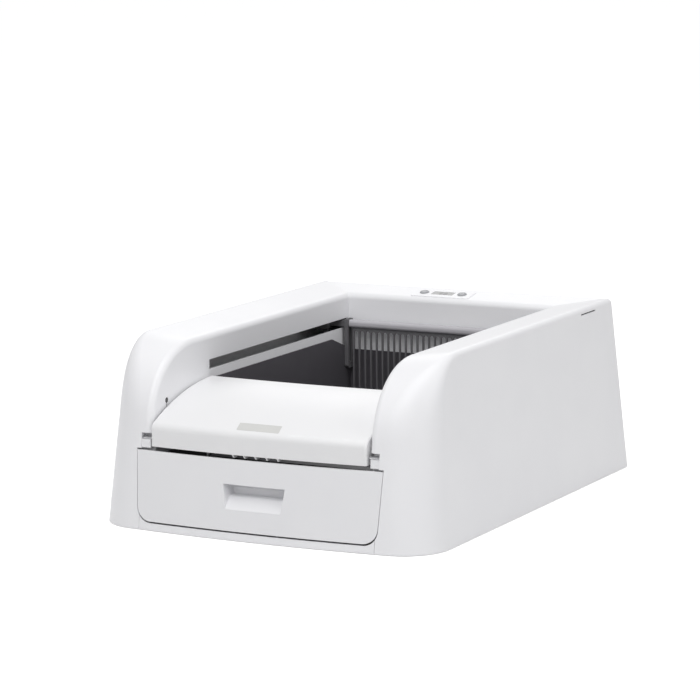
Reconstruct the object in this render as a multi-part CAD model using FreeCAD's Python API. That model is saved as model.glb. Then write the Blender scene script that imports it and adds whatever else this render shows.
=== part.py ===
import FreeCAD, Part
import math
import os
from FreeCAD import Vector

# Self-cleaning litter box, millimetres. X is across, Z is up from the floor.
# Y is drawn as depth behind the front seam line, and place() moves the finished
# solids so that the origin is the middle of the footprint, on the floor.

# Overall form
overall_width = 530.0
overall_depth = 690.0
overall_height = 260.0
front_bow = 8.0
side_draft = 0.071
front_draft = 0.123
rear_draft = 0.078
front_corner_radius = 68.0
rear_corner_radius = 5.0
roof_edge_radius = 8.0
inner_edge_radius = 9.0
wall = 2.6
corner_wall = 3.6
bend_facets = 6
floor_gap = 1.5

# Cavity between the arms, and the curve that the arms make at the front
side_box_width = 94.0
rear_box_depth = 77.0
rim_slope = 0.1325
ledge_slope = 0.161
bend_height = 150.0
bend_depth = 135.0

# Base
plate_thickness = 2.5
skin_gap = 0.3
foot_width = 22.0
foot_length = 22.0
foot_corner = 5.0
foot_thickness = 2.5
front_foot_inset = 50.0
middle_foot_inset = 30.0
rear_foot_inset = 35.0
front_foot_depth = 75.0
rear_foot_margin = 42.0
pad_radius = 6.5
pad_height = 4.8
boss_radius = 4.5
boss_height = 18.0
boss_gap = 3.9
screw_radius = 1.5
screw_head_radius = 3.2
screw_head_height = 2.1
front_screw_depth = 45.0
rear_screw_margin = 20.0
rear_screw_x = 110.0
pan_rib_thickness = 2.5
pan_rib_pitch = 90.0

# Waste drawer in the front
panel_inset_low = 77.8
panel_inset_high = 72.4
panel_bottom = 13.5
panel_height = 98.0
panel_corner_radius = 22.0
panel_wall = 3.2
panel_return = 14.0
panel_gap = 0.9
panel_gap_below = 2.5
panel_gap_above = 2.5
recess_depth = 27.0
strip_inset = 2.5
strip_wall = 3.0
sill_stop_width = 2.4
sill_stop_pitch = 68.0
drawer_travel = 130.0
scoop_half_low = 43.0
scoop_half_high = 48.5
scoop_level = 29.5
scoop_height = 34.5
scoop_floor_rise = 15.0
scoop_roof_fall = 8.0
scoop_depth = 27.0
scoop_wall = 2.4
scoop_round = 3.0
tray_wall = 2.5
tray_floor = 12.0
tray_front = 24.0
tray_side_height = 32.0
tray_front_height = 84.0
tray_slot_count = 4
tray_slot_width = 44.0
tray_slot_margin = 22.0
drawer_screw_x = 130.0
drawer_screw_low = 36.0
drawer_screw_high = 84.0
drawer_screw_length = 11.0
bin_wall = 2.0
bin_drop = 7.5
bin_front_gap = 12.0
bin_back_gap = 16.5
bin_draft = 5.0
bin_rim = 2.2
bin_corner = 12.0
rail_width = 12.0
rail_height = 22.0
rail_lip = 1.9
slide_gap = 0.3

# Entry step, a moulded lid hinged at its front corners
step_gap = 2.5
step_wall = 2.8
lip_gap = 6.5
step_lip_height = 31.0
step_lip_radius = 12.0
step_side_bevel = 1.6
step_back_gap = 3.0
step_rise = 42.0
step_crown_depth = 80.0
step_crown_rise = 28.5
step_skirt = 24.0
step_rib_count = 5
step_rib_pitch = 17.5
step_rib_width = 2.4
step_rib_drop = 4.7
step_stiffeners = 4
hinge_depth = 21.0
hinge_rise = 10.0
hinge_pin_radius = 2.5
hinge_boss_radius = 5.0
running_gap = 0.08
pocket_width = 15.6
pocket_headroom = 7.5
pocket_reach = 11.0
hinge_block_nose = 4.2

# Litter pan
pan_gap = 1.7
pan_wall = 2.2
pan_floor = 15.0
pan_corner = 6.0
pan_side_drop = 12.0
pan_back_drop = 35.0
ramp_foot = 190.0
ramp_run = 16.0
ramp_rise = 62.3
crest_lip = 20.0
crest_gap = 11.0

# Rake and its carriage
rake_margin_front = 2.0
rake_margin_rear = 15.0
comb_drop = 54.0
slot_level = 37.0
slot_height = 14.0
slot_margin = 10.0
beam_width = 13.0
beam_height = 12.0
beam_round = 5.0
tine_pitch = 10.0
tine_width = 2.6
tine_tip_width = 1.8
tine_thickness = 3.0
tine_tip_gap = 6.8
comb_header = 5.0
end_plate_gap = 4.4
end_plate_thickness = 6.1
end_plate_width = 18.0
guide_depth = 4.5
lug_width = 7.8
lug_gap = 0.4
arm_height = 9.0
arm_width = 16.0
rod_inset = 34.0
rod_radius = 4.0
truck_width = 24.0
truck_height = 20.0
truck_length = 28.0
rod_block_length = 12.0
rod_overrun_front = 42.0
rod_overrun_rear = 23.0

# Belt drive behind and beside the cavity
shaft_gap = 30.0
shaft_rise = 15.0
shaft_radius = 4.0
pulley_offset = 20.0
pulley_radius = 12.0
belt_width = 6.0
belt_thickness = 1.6
belt_gap = 0.3
pulley_flange = 1.5
pulley_flange_radius = 14.0
idler_offset = 8.0
axle_radius = 3.0
bearing_inset = 14.0
bearing_width = 14.0
bearing_radius = 11.0
gear_module = 1.25
gear_teeth = 30
pinion_teeth = 15
gear_x = 82.0
gear_width = 8.0
gear_backlash = 0.16
motor_radius = 16.0
gearbox_length = 40.0
motor_can_radius = 14.0
motor_can_length = 32.0
motor_shaft_radius = 2.5
bracket_thickness = 2.4
bracket_gap = 2.6

# Electrics
sensor_depth = 60.0
sensor_rise = 26.0
sensor_radius = 4.0
sensor_slot = 3.0
sensor_slot_drop = 17.0
board_width = 110.0
board_height = 62.0
board_thickness = 1.6
board_standoff = 5.0
board_x = -95.0
board_drop = 28.0
post_margin = 6.0
panel_x = -20.0
panel_setback = 25.0
bezel_width = 98.0
bezel_length = 36.0
bezel_flange = 1.0
bezel_body_width = 91.0
bezel_body_length = 29.0
bezel_body_depth = 9.2
bezel_wall = 1.6
button_radius = 7.0
button_gap = 0.25
button_height = 1.6
button_travel = 1.5
button_spacing = 64.0
lens_width = 36.0
lens_length = 15.0
socket_inset = 60.0
socket_height = 40.0
socket_radius = 5.5
socket_bore_radius = 2.75
hood_slot_margin = 84.0
hood_slot_length = 52.0
hood_slot_height = 2.0
hood_slot_drop = 10.0

# Worked out from the above: the housing and its base
half_width = overall_width / 2
rear_depth = overall_depth - front_bow
origin_depth = (rear_depth - front_bow) / 2
cavity_half = half_width - side_box_width
cavity_depth = rear_depth - rear_box_depth
top_half = half_width - side_draft * overall_height
roof_tilt = math.atan(rim_slope)
roof_corner = math.pi / 2 - roof_tilt + math.atan(side_draft)
rounded_off = roof_edge_radius * (math.sin(roof_tilt) / math.tan(roof_corner / 2) + math.cos(roof_tilt) - 1)
rim_height = overall_height - rim_slope * (top_half - cavity_half) + rounded_off
plate_top = floor_gap + plate_thickness
skin_bottom = plate_top + skin_gap
screw_depths = [front_screw_depth, (front_screw_depth + cavity_depth - rear_screw_margin) / 2,
                cavity_depth - rear_screw_margin]
screw_spots = [(side * (cavity_half + wall + boss_gap), y) for side in (-1, 1) for y in screw_depths]
screw_spots += [(side * rear_screw_x, cavity_depth + wall + boss_gap) for side in (-1, 1)]
rear_foot_depth = rear_depth - rear_foot_margin
foot_spots = [(side * (half_width - inset), y) for side in (-1, 1) for inset, y in (
    (front_foot_inset, front_foot_depth),
    (middle_foot_inset, (front_foot_depth + rear_foot_depth) / 2),
    (rear_foot_inset, rear_foot_depth))]

# The drawer's panel, and the bow of the front
panel_half_low = half_width - panel_inset_low
panel_half_high = half_width - panel_inset_high
panel_top = panel_bottom + panel_height
strip_half = panel_half_low - strip_inset
bow_radius = (strip_half ** 2 + front_bow ** 2) / (2 * front_bow)
bow_axis = bow_radius - front_bow
scoop_bottom = panel_bottom + scoop_level
scoop_top = scoop_bottom + scoop_height
tray_half = cavity_half - rail_lip - 3 * slide_gap

# Pan, with the ramp that the rake pushes up
ramp_crest = ramp_foot - ramp_run
crest_height = pan_floor + ramp_rise
crest_half = cavity_half - crest_gap
pan_half = cavity_half - pan_gap
pan_back = cavity_depth - pan_gap
pan_front = ramp_crest + 7

# Step and its hinge
step_half = cavity_half - step_gap
step_back = ramp_crest - step_back_gap
step_lip_bottom = panel_top + lip_gap
step_lip_top = step_lip_bottom + step_lip_height
step_back_height = step_lip_top + step_rise
step_crown_height = step_lip_top + step_crown_rise
hinge_height = step_lip_bottom + hinge_rise
pocket_half = cavity_half + pocket_width
pocket_top = hinge_height + pocket_headroom
pocket_back = hinge_depth + pocket_reach
bin_height = panel_top - bin_drop
bin_front = tray_front + bin_front_gap
bin_back = ramp_crest - bin_back_gap

# Rake, rods and slots
slot_top = rim_height - slot_level
slot_bottom = slot_top - slot_height
rake_park = cavity_depth - rake_margin_rear
rake_travel = rake_park - ramp_foot - rake_margin_front
pan_side_height = slot_bottom - pan_side_drop
pan_back_height = slot_bottom - pan_back_drop
beam_bottom = slot_bottom + 1
beam_top = beam_bottom + beam_height
end_plate_outer = cavity_half - end_plate_gap
end_plate_inner = end_plate_outer - end_plate_thickness
end_plate_bottom = beam_bottom - comb_drop - 9
beam_half = end_plate_inner - 0.6
tine_bottom = pan_floor + pan_wall + tine_tip_gap + comb_drop
tine_count = int((2 * beam_half - tine_width) / tine_pitch) + 1
rod_x = cavity_half + rod_inset
rod_height = (slot_bottom + slot_top) / 2
rod_front = rake_park - rake_travel - rod_overrun_front
rod_back = cavity_depth + rod_overrun_rear

# Drive
shaft_depth = cavity_depth + shaft_gap
shaft_height = slot_top + shaft_rise
pulley_x = rod_x + pulley_offset
idler_depth = rod_front + idler_offset
bearing_x = cavity_half - bearing_inset
pinion_height = shaft_height - gear_module * (gear_teeth + pinion_teeth) / 2
bracket_x = gear_x + gear_width / 2 + bracket_gap

# Electrics
sensor_height = step_lip_top + sensor_rise
board_z = slot_bottom - board_drop
panel_depth = cavity_depth + panel_setback
ledge_height = rim_height + ledge_slope * panel_setback
socket_x = socket_inset - half_width
hood_slot_front = rear_depth - hood_slot_margin - hood_slot_length
hood_slot_level = overall_height - hood_slot_drop


def box(x0, x1, y0, y1, z0, z1):
    return Part.makeBox(x1 - x0, y1 - y0, z1 - z0, Vector(x0, y0, z0))


def facet_bore(sides, radius, start, end):
    """Cutter for a hole of flat facets that just clears a round bar of the radius."""
    return facet_bar(sides, radius / math.cos(math.pi / sides), start, end)


def rod_along_x(x0, x1, y, z, radius):
    return Part.makeCylinder(radius, x1 - x0, Vector(x0, y, z), Vector(1, 0, 0))


def rod_along_y(y0, y1, x, z, radius):
    return Part.makeCylinder(radius, y1 - y0, Vector(x, y0, z), Vector(0, 1, 0))


def rod_along_z(z0, z1, x, y, radius):
    return Part.makeCylinder(radius, z1 - z0, Vector(x, y, z0), Vector(0, 0, 1))


def facet_bar(sides, radius, start, end):
    """Bar with a regular many-sided outline between two points on one axis."""
    axis = end - start
    across = Vector(0, 1, 0) if abs(axis.x) > 0.1 else Vector(1, 0, 0)
    up = axis.cross(across).normalize()
    points = []
    for k in range(sides):
        angle = 2 * math.pi * (k + 0.5) / sides
        points.append(start + across * (radius * math.cos(angle)) + up * (radius * math.sin(angle)))
    return face_of(points).extrude(axis)


def mirrored(shape):
    return shape.mirror(Vector(0, 0, 0), Vector(1, 0, 0))


def both_sides(shape):
    return [shape, mirrored(shape)]


def solid_from(faces):
    return one_solid(Part.makeSolid(Part.makeShell(faces)).removeSplitter())


def one_solid(shape):
    return shape.Solids[0] if len(shape.Solids) == 1 else shape


def face_of(points):
    return Part.Face(Part.makePolygon(points + points[:1]))


def side_profile(points, x0, x1):
    """Extrude a Y-Z outline along X."""
    face = face_of([Vector(x0, y, z) for y, z in points])
    return face.extrude(Vector(x1 - x0, 0, 0))


def middle(edge):
    return edge.valueAt((edge.FirstParameter + edge.LastParameter) / 2)


def bevel_edges(shape, size, test):
    edges = [edge for edge in shape.Edges if test(middle(edge), edge)]
    return shape.makeChamfer(size, edges)


def round_edges(shape, radius, test):
    edges = [edge for edge in shape.Edges if test(middle(edge), edge)]
    return shape.makeFillet(radius, edges)


def fillet_by_edge(shape, radii):
    """Round numbered edges, each from one radius to another."""
    document = FreeCAD.newDocument("rounding")
    base = document.addObject("Part::Feature", "base")
    base.Shape = shape
    fillet = document.addObject("Part::Fillet", "fillet")
    fillet.Base = base
    fillet.Edges = radii
    document.recompute()
    result = fillet.Shape.copy()
    FreeCAD.closeDocument(document.Name)
    return one_solid(result)


def bow_at(x):
    """How far the bowed front lies behind the seam line at x."""
    return bow_axis - math.sqrt(bow_radius ** 2 - x ** 2)


def front_at(z):
    return front_draft * z


def bowed_prism(half, offset, back, low, high):
    """Block whose front face has the bow and the draft of the object's front."""
    wires = []
    for z in (low, high):
        front = front_at(z) + offset
        left = Vector(-half, front + bow_at(half), z)
        right = Vector(half, front + bow_at(half), z)
        crown = Vector(0, front - front_bow, z)
        back_left = Vector(-half, back, z)
        back_right = Vector(half, back, z)
        arc = Part.Arc(left, crown, right).toShape()
        sides = [(right, back_right), (back_right, back_left), (back_left, left)]
        wires.append(Part.Wire([arc] + [Part.makeLine(a, b) for a, b in sides]))
    return one_solid(Part.makeLoft(wires, True, True))


# Moulded housing: two arms and a rear ledge round the cavity

def bend_curve(x):
    """Quarter turn from an arm's drafted front into its roof, at x."""
    chord = (x - strip_half) * strip_half / bow_radius
    start = Vector(x, front_at(bend_height) + chord, bend_height)
    end = Vector(x, bend_depth, rim_height + (x - cavity_half) * rim_slope)
    quarter = 4 * (math.sqrt(2) - 1) / 3
    rise = (end.z - start.z) * quarter
    run = (end.y - start.y) * quarter
    curve = Part.BezierCurve()
    curve.setPoles([start, start + Vector(0, front_draft * rise, rise), end - Vector(0, run, 0), end])
    return curve


def arm_outline(x):
    """Edges of an arm's section at x, the curved one first."""
    curve = bend_curve(x)
    start, end = curve.value(0), curve.value(1)
    foot = Vector(x, start.y - front_draft * (bend_height - floor_gap), floor_gap)
    back = Vector(x, rear_depth + 80, end.z)
    back_foot = Vector(x, rear_depth + 80, floor_gap)
    lines = [(end, back), (back, back_foot), (back_foot, foot), (foot, start)]
    return [curve.toShape()] + [Part.makeLine(a, b) for a, b in lines]


def arm():
    inner = arm_outline(cavity_half)
    outer = arm_outline(half_width + 40)
    faces = [Part.Face(Part.Wire(inner)), Part.Face(Part.Wire(outer))]
    faces.append(Part.makeRuledSurface(inner[0], outer[0]))
    for near, far in zip(inner[1:], outer[1:]):
        a, b = [vertex.Point for vertex in near.Vertexes]
        c, d = [vertex.Point for vertex in far.Vertexes]
        faces.append(face_of([a, b, d, c]))

    def is_rim(mid, edge):
        ends = [vertex.Point for vertex in edge.Vertexes]
        on_skin = all(point.x < cavity_half + 0.01 for point in ends)
        at_foot = all(point.z < floor_gap + 1 for point in ends)
        at_back = all(point.y > rear_depth for point in ends)
        return on_skin and not at_foot and not at_back

    return round_edges(solid_from(faces), inner_edge_radius, is_rim)


def rear_block():
    y0, y1 = cavity_depth, rear_depth + 80
    z1 = rim_height + ledge_slope * (y1 - y0)
    reach = half_width + 40
    block = side_profile([(y0, floor_gap), (y0, rim_height), (y1, z1), (y1, floor_gap)], -reach, reach)
    return round_edges(block, inner_edge_radius, lambda mid, edge: abs(mid.y - y0) < 0.1 and mid.z > rim_height - 0.1)


def drafted_block():
    """Planes of the two sides and the back, with their drafts."""
    corners = []
    for z in (floor_gap, overall_height + 60):
        half = half_width - side_draft * z
        back = rear_depth - rear_draft * z
        corners.append([Vector(-half, -100, z), Vector(half, -100, z), Vector(half, back, z), Vector(-half, back, z)])
    low, high = corners
    faces = [face_of(low), face_of(high)]
    for k in range(4):
        n = (k + 1) % 4
        faces.append(face_of([low[k], low[n], high[n], high[k]]))
    return solid_from(faces)


def housing():
    """Outer form: large rounds at the foot of the front corners shrink to small ones on the roof."""
    right = arm()
    form = right.fuse([mirrored(right), rear_block()]).common(drafted_block())
    form = one_solid(form.removeSplitter())
    radii = []
    for number, edge in enumerate(form.Edges, 1):
        mid = middle(edge)
        first, last = edge.Vertexes[0].Point, edge.Vertexes[-1].Point
        side = abs(mid.x) > top_half - 12
        ends = None
        if side and mid.y < 40 and floor_gap + 5 < mid.z < bend_height - 10:
            ends = [front_corner_radius, front_corner_radius]
        elif side and mid.y < bend_depth - 20 and mid.z > bend_height + 40:
            ends = [front_corner_radius, roof_edge_radius]
        elif side and bend_depth + 20 < mid.y < rear_depth - 40 and mid.z > rim_height:
            ends = [roof_edge_radius, roof_edge_radius]
        elif mid.y > rear_depth - 32 and (mid.z > rim_height or side and mid.z > 50):
            ends = [rear_corner_radius, rear_corner_radius]
        if ends:
            backwards = first.y > last.y
            radii.append((number, *reversed(ends)) if backwards else (number, *ends))
    return fillet_by_edge(form, radii)


# Hollow of the housing, with flat facets behind the rounds

def ball_centre(corner, face_a, face_b, radius):
    """Centre of the ball that touches two faces, given their normals, beside a corner point."""
    return corner - (face_a + face_b) * (radius / (1 + face_a.dot(face_b)))


def between(a, b, share):
    return (a * (1 - share) + b * share).normalize()


def trimmed(shape, planes):
    """Keep what lies behind each plane, given as an outward normal and a distance."""
    reach = 2 * overall_depth
    for normal, distance in planes:
        across = normal.cross(Vector(0.3, 0.5, 0.8)).normalize() * reach
        up = normal.cross(across).normalize() * reach
        foot = normal * distance
        corners = [foot + across + up, foot - across + up, foot - across - up, foot + across - up]
        shape = shape.cut(face_of(corners).extrude(normal * reach))
    return shape


def arm_stations():
    """Along the bend: points on the cavity's skin and on the outer side, and the normal between."""
    near, far = bend_curve(cavity_half), bend_curve(half_width)
    stations = []
    for k in range(bend_facets + 1):
        share = k / bend_facets
        inner, ruling = near.value(share), far.value(share) - near.value(share)
        normal = ruling.cross(near.tangent(share)[0]).normalize()
        lean = (half_width - inner.x - side_draft * inner.z) / (ruling.x + side_draft * ruling.z)
        stations.append((inner, inner + ruling * lean, normal if normal.z > 0 else normal * -1))
    return stations


def arm_hollow(inset):
    skin, side = Vector(-1, 0, 0), Vector(1, 0, side_draft).normalize()
    behind_round = inset + corner_wall - wall
    planes = [(skin, -cavity_half - inset), (side, side.x * half_width - inset)]
    for k, (inner, outer, normal) in enumerate(arm_stations()):
        share = k / bend_facets
        shrunk = min(share, share ** 2 * (3 - 2 * share))
        radius = front_corner_radius + (roof_edge_radius - front_corner_radius) * shrunk
        flat = k in (0, bend_facets)
        planes.append((normal, normal.dot(inner) - (inset if flat else behind_round)))
        rounds = [(skin, inner, inner_edge_radius, 0.5), (side, outer, radius, 0.5)]
        if k < bend_facets:
            rounds += [(side, outer, radius, 0.25), (side, outer, radius, 0.75)]
        for face, corner, size, turn in rounds:
            slant = between(face, normal, turn)
            planes.append((slant, slant.dot(ball_centre(corner, face, normal, size)) + size - behind_round))
    rear = Vector(0, 1, rear_draft).normalize()
    planes.append((rear, rear.y * rear_depth - inset))
    return trimmed(box(0, half_width, -40, rear_depth, -20, overall_height), planes)


def rear_hollow(inset):
    side, rear = Vector(1, 0, side_draft).normalize(), Vector(0, 1, rear_draft).normalize()
    skin, roof = Vector(0, -1, 0), Vector(0, -ledge_slope, 1).normalize()
    rim = Vector(0, cavity_depth, rim_height)
    edge = between(skin, roof, 0.5)
    ball = ball_centre(rim, skin, roof, inner_edge_radius)
    planes = [(side, side.x * half_width - inset), (Vector(-side.x, 0, side.z), side.x * half_width - inset),
              (skin, -cavity_depth - inset), (roof, roof.dot(rim) - inset), (rear, rear.y * rear_depth - inset),
              (edge, edge.dot(ball) + inner_edge_radius - inset - corner_wall + wall)]
    return trimmed(box(-half_width, half_width, cavity_depth, rear_depth, -20, overall_height), planes)


def hollow(inset):
    right = arm_hollow(inset)
    return one_solid(right.fuse([mirrored(right), rear_hollow(inset)]).removeSplitter())


def drawer_recess(grow):
    """Room for the drawer's front panel, with the panel's own outline."""
    low = panel_half_low + panel_gap + grow
    high = panel_half_high + panel_gap + grow
    bottom = panel_bottom - panel_gap_below - grow
    top = panel_top + panel_gap_above + grow
    return panel_outline(low, high, bottom, top, panel_corner_radius + grow, -30, recess_depth + grow)


def panel_outline(half_low, half_high, bottom, top, radius, y0, y1):
    points = [(-half_low, bottom), (half_low, bottom), (half_high, top), (-half_high, top)]
    block = face_of([Vector(x, y0, z) for x, z in points]).extrude(Vector(0, y1 - y0, 0))
    return round_edges(block, radius, lambda mid, edge: abs(mid.z - bottom) < 0.1 and abs(mid.x) > half_low - 0.1)


def hinge_pocket(grow):
    low = panel_top + panel_gap_above - 1
    return box(cavity_half - 5, pocket_half + grow, -30, pocket_back + grow, low, pocket_top + grow)


def panel_frame(shape):
    """Lay a piece drawn flat at the origin on the sloping rear ledge."""
    laid = shape.copy()
    laid.rotate(Vector(0, 0, 0), Vector(1, 0, 0), math.degrees(math.atan(ledge_slope)))
    laid.translate(Vector(panel_x, panel_depth, ledge_height))
    return laid


def at_screws(radius, low, high):
    """Eight-sided bar at each screw of the base."""
    return [facet_bar(8, radius, Vector(x, y, low), Vector(x, y, high)) for x, y in screw_spots]


def carriage_slot():
    """Slot in the cavity's side wall for the carriage arm."""
    y0 = rake_park - rake_travel - arm_width / 2 - slot_margin / 2
    y1 = rake_park + arm_width / 2 + slot_margin / 4
    return box(cavity_half - 5, cavity_half + wall + 5, y0, y1, slot_bottom, slot_top)


def sensor_window():
    start, end = [Vector(x, sensor_depth, sensor_height) for x in (cavity_half - 5, cavity_half + wall + 5)]
    hole = facet_bore(16, sensor_radius + 0.1, start, end)
    half = sensor_slot / 2
    slot = box(cavity_half - 5, cavity_half + wall + 5, sensor_depth - half, sensor_depth + half,
               sensor_height - sensor_slot_drop, sensor_height)
    return hole.fuse(slot)


def hood_slot():
    x = half_width - side_draft * hood_slot_level
    return box(x - wall - 4, x + 10, hood_slot_front, hood_slot_front + hood_slot_length,
               hood_slot_level, hood_slot_level + hood_slot_height)


def step_rest():
    """Ledge on the cavity wall that carries the rear of the step."""
    y0, y1 = step_back - 32, step_back - 12
    low, high = [step_skirt_at(y - front_bow + 1) - 0.4 for y in (y0, y1)]
    points = [(y0, low), (y1, high), (y1, high - 6), (y0, low - 12)]
    return side_profile(points, step_half - step_wall - 0.2, cavity_half + 0.5)


def outer_shell():
    linings = [drawer_recess(wall)] + both_sides(hinge_pocket(wall))
    shell = housing().cut(hollow(wall).cut(linings))
    inner = cavity_half + wall + 1
    cuts = [box(-inner, inner, -30, cavity_depth + wall + 1, -5, skin_bottom)]
    cuts.append(box(-strip_half - 0.5, strip_half + 0.5, -30, strip_wall + 6, -5, panel_corner_radius + 20))
    cuts.append(drawer_recess(0))
    cuts += both_sides(hinge_pocket(0)) + both_sides(carriage_slot()) + both_sides(sensor_window())
    cuts += both_sides(hood_slot())
    cuts.append(panel_frame(box(-bezel_body_width / 2 - 0.3, bezel_body_width / 2 + 0.3,
                                -bezel_body_length / 2 - 0.3, bezel_body_length / 2 + 0.3, -15, 15)))
    socket_y = rear_depth - rear_draft * socket_height
    cuts.append(facet_bar(16, socket_radius + 0.2, Vector(socket_x, socket_y - 12, socket_height),
                          Vector(socket_x, socket_y + 5, socket_height)))
    cuts += at_screws(pad_radius + 0.5, 0, floor_gap + pad_height + skin_gap)
    shell = shell.cut(cuts)
    added = at_screws(boss_radius, floor_gap + pad_height + skin_gap, floor_gap + pad_height + boss_height)
    added += both_sides(step_rest())
    added += [facet_bar(8, 3.2, Vector(x, cavity_depth + wall - 0.3, z), Vector(x, cavity_depth + wall + board_standoff, z))
              for x, z in board_posts()]
    shell = shell.fuse(added)
    pilot = at_screws(screw_radius + 0.05, 0, floor_gap + pad_height + boss_height - 3)
    return one_solid(shell.cut(pilot))


def board_posts():
    dx = board_width / 2 - post_margin
    dz = board_height / 2 - post_margin
    return [(board_x + sx * dx, board_z + sz * dz) for sx in (-1, 1) for sz in (-1, 1)]


# Base that closes the housing from below

def base_frame():
    slab = box(-half_width, half_width, -30, rear_depth, floor_gap, plate_top)
    plate = hollow(wall + 0.4).common(slab)
    inner = cavity_half + wall + 5
    middle_plate = box(-inner, inner, strip_wall, cavity_depth + 20, floor_gap, plate_top)
    strip = bowed_prism(strip_half, 0, strip_wall + 5, floor_gap, panel_corner_radius + 16)
    strip = strip.cut(bowed_prism(strip_half + 5, strip_wall, 40, plate_top, panel_corner_radius + 40))
    strip = strip.cut(drawer_recess(0))
    frame = plate.fuse([middle_plate, strip])
    frame = frame.fuse(at_screws(pad_radius, floor_gap, floor_gap + pad_height))
    ribs = [box(x - sill_stop_width / 2, x + sill_stop_width / 2, strip_wall, strip_wall + 4,
                panel_bottom - panel_gap_below - 1, tray_floor - slide_gap)
            for x in (-sill_stop_pitch / 2, sill_stop_pitch / 2)]
    half = pan_rib_thickness / 2
    for x in [(k - 1.5) * pan_rib_pitch for k in range(4)]:
        ribs.append(box(x - half, x + half, ramp_foot, cavity_depth - 12, floor_gap + 1, pan_floor - 0.3))
    frame = frame.fuse(ribs)
    head = at_screws(screw_head_radius + 0.4, 0, floor_gap + screw_head_height + 0.4)
    shank = at_screws(screw_radius + 0.2, 0, 20)
    seats = [foot_pad(x, y, 0.2, foot_thickness) for x, y in foot_spots]
    return one_solid(frame.cut(head + shank + seats).removeSplitter())


def foot_pad(x, y, grow, height):
    """Block with cut corners."""
    half_x, half_y = foot_width / 2 + grow, foot_length / 2 + grow
    pad = box(x - half_x, x + half_x, y - half_y, y + half_y, 0, height)
    return bevel_edges(pad, foot_corner, lambda mid, edge: abs(mid.z - height / 2) < 0.01)


def rubber_feet():
    return Part.makeCompound([foot_pad(x, y, 0, foot_thickness) for x, y in foot_spots])


def screw(x, y, z, direction, length, head_height):
    """Screw whose head starts at the point and whose shank runs along the direction."""
    start = Vector(x, y, z)
    head = facet_bar(8, screw_head_radius, start, start + direction * head_height)
    shank = facet_bar(8, screw_radius, start, start + direction * length)
    return one_solid(head.fuse(shank).removeSplitter())


def base_screws():
    length = pad_height + boss_height - 4.5
    return Part.makeCompound([
        screw(x, y, floor_gap + 0.4, Vector(0, 0, 1), length, screw_head_height) for x, y in screw_spots])


# Waste drawer

def drawer_front():
    bowed = bowed_prism(panel_half_high + 5, 0, recess_depth, 0, panel_top + 5)
    face = panel_outline(panel_half_low, panel_half_high, panel_bottom, panel_top, panel_corner_radius,
                         -30, panel_return + front_at(panel_bottom))
    panel = face.common(bowed)
    inner_face = panel_outline(panel_half_low - panel_wall, panel_half_high - panel_wall,
                               panel_bottom + panel_wall, panel_top + 20,
                               panel_corner_radius - panel_wall, -30, recess_depth + 20)
    behind = bowed_prism(panel_half_high + 10, panel_wall, recess_depth + 30, 0, panel_top + 30)
    panel = panel.cut(inner_face.common(behind))
    posts = [facet_bar(8, boss_radius, Vector(x, front_at(z) - front_bow, z), Vector(x, tray_front, z))
             for x, z in drawer_screw_spots()]
    inside = Part.makeCompound(posts + [scoop(scoop_wall)]).common(behind_front())
    panel = panel.fuse(inside).cut(scoop(0))
    pilots = [facet_bar(8, screw_radius + 0.05, Vector(x, tray_front - 9, z), Vector(x, tray_front + 1, z))
              for x, z in drawer_screw_spots()]
    return one_solid(panel.cut(pilots).removeSplitter())


def behind_front():
    """Everything behind the middle of the panel's front wall."""
    return bowed_prism(panel_half_high + 10, panel_wall / 2, recess_depth + 30, -10, panel_top + 30)


def scoop(grow):
    """Finger scoop of the drawer front, wider at the top, narrowing towards its back."""
    low = scoop_bottom - grow
    high = scoop_top + grow
    back = scoop_depth + grow
    lip = front_at(scoop_bottom) - front_bow
    points = [(-40, low), (lip + 2, low), (back, low + scoop_floor_rise), (back, high - scoop_roof_fall),
              (lip + 8, high), (-40, high)]
    form = side_profile(points, -scoop_half_high - 20, scoop_half_high + 20)
    form = round_edges(form, scoop_round, lambda mid, edge: mid.y > back - 1 and abs(mid.x) < 1)
    outline = [(-scoop_half_low - grow, low), (scoop_half_low + grow, low),
               (scoop_half_high + grow, high), (-scoop_half_high - grow, high)]
    sides = face_of([Vector(x, -60, z) for x, z in outline]).extrude(Vector(0, 160, 0))
    return one_solid(form.common(sides))


def drawer_screw_spots():
    return [(side * drawer_screw_x, z) for side in (-1, 1) for z in (drawer_screw_low, drawer_screw_high)]


def drawer_tray():
    """Carrier that the bin drops into, screwed to the back of the front panel."""
    back = bin_back + 0.5
    floor = box(-tray_half, tray_half, tray_front, back, tray_floor, tray_floor + tray_wall - 0.3)
    cheek = box(tray_half - tray_wall, tray_half, tray_front, back, tray_floor, tray_floor + tray_side_height)
    front = box(-tray_half, tray_half, tray_front, tray_front + tray_wall, tray_floor, tray_floor + tray_front_height)
    tray = floor.fuse(both_sides(cheek) + [front])
    window = scoop_half_high + scoop_wall + 1.5
    tray = tray.cut(box(-window, window, tray_front - 1, tray_front + tray_wall + 1,
                        scoop_bottom - scoop_wall - 1.5, tray_floor + tray_front_height + 1))
    tray = round_edges(tray, 6.0, lambda mid, edge: abs(mid.x) > tray_half - tray_wall - 0.1
                       and mid.y > back - 0.1 and mid.z > tray_floor + tray_side_height - 0.1)
    holes = [facet_bar(8, screw_radius + 0.2, Vector(x, tray_front - 1, z), Vector(x, tray_front + tray_wall + 1, z))
             for x, z in drawer_screw_spots()]
    slots = []
    for k in range(tray_slot_count):
        x = (k - (tray_slot_count - 1) / 2) * 2 * (tray_half - tray_slot_margin) / tray_slot_count
        half = tray_slot_width / 2
        slots.append(box(x - half, x + half, bin_front + tray_slot_margin, bin_back - tray_slot_margin,
                         tray_floor - 1, tray_floor + tray_wall))
    return one_solid(tray.cut(holes + slots))


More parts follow.
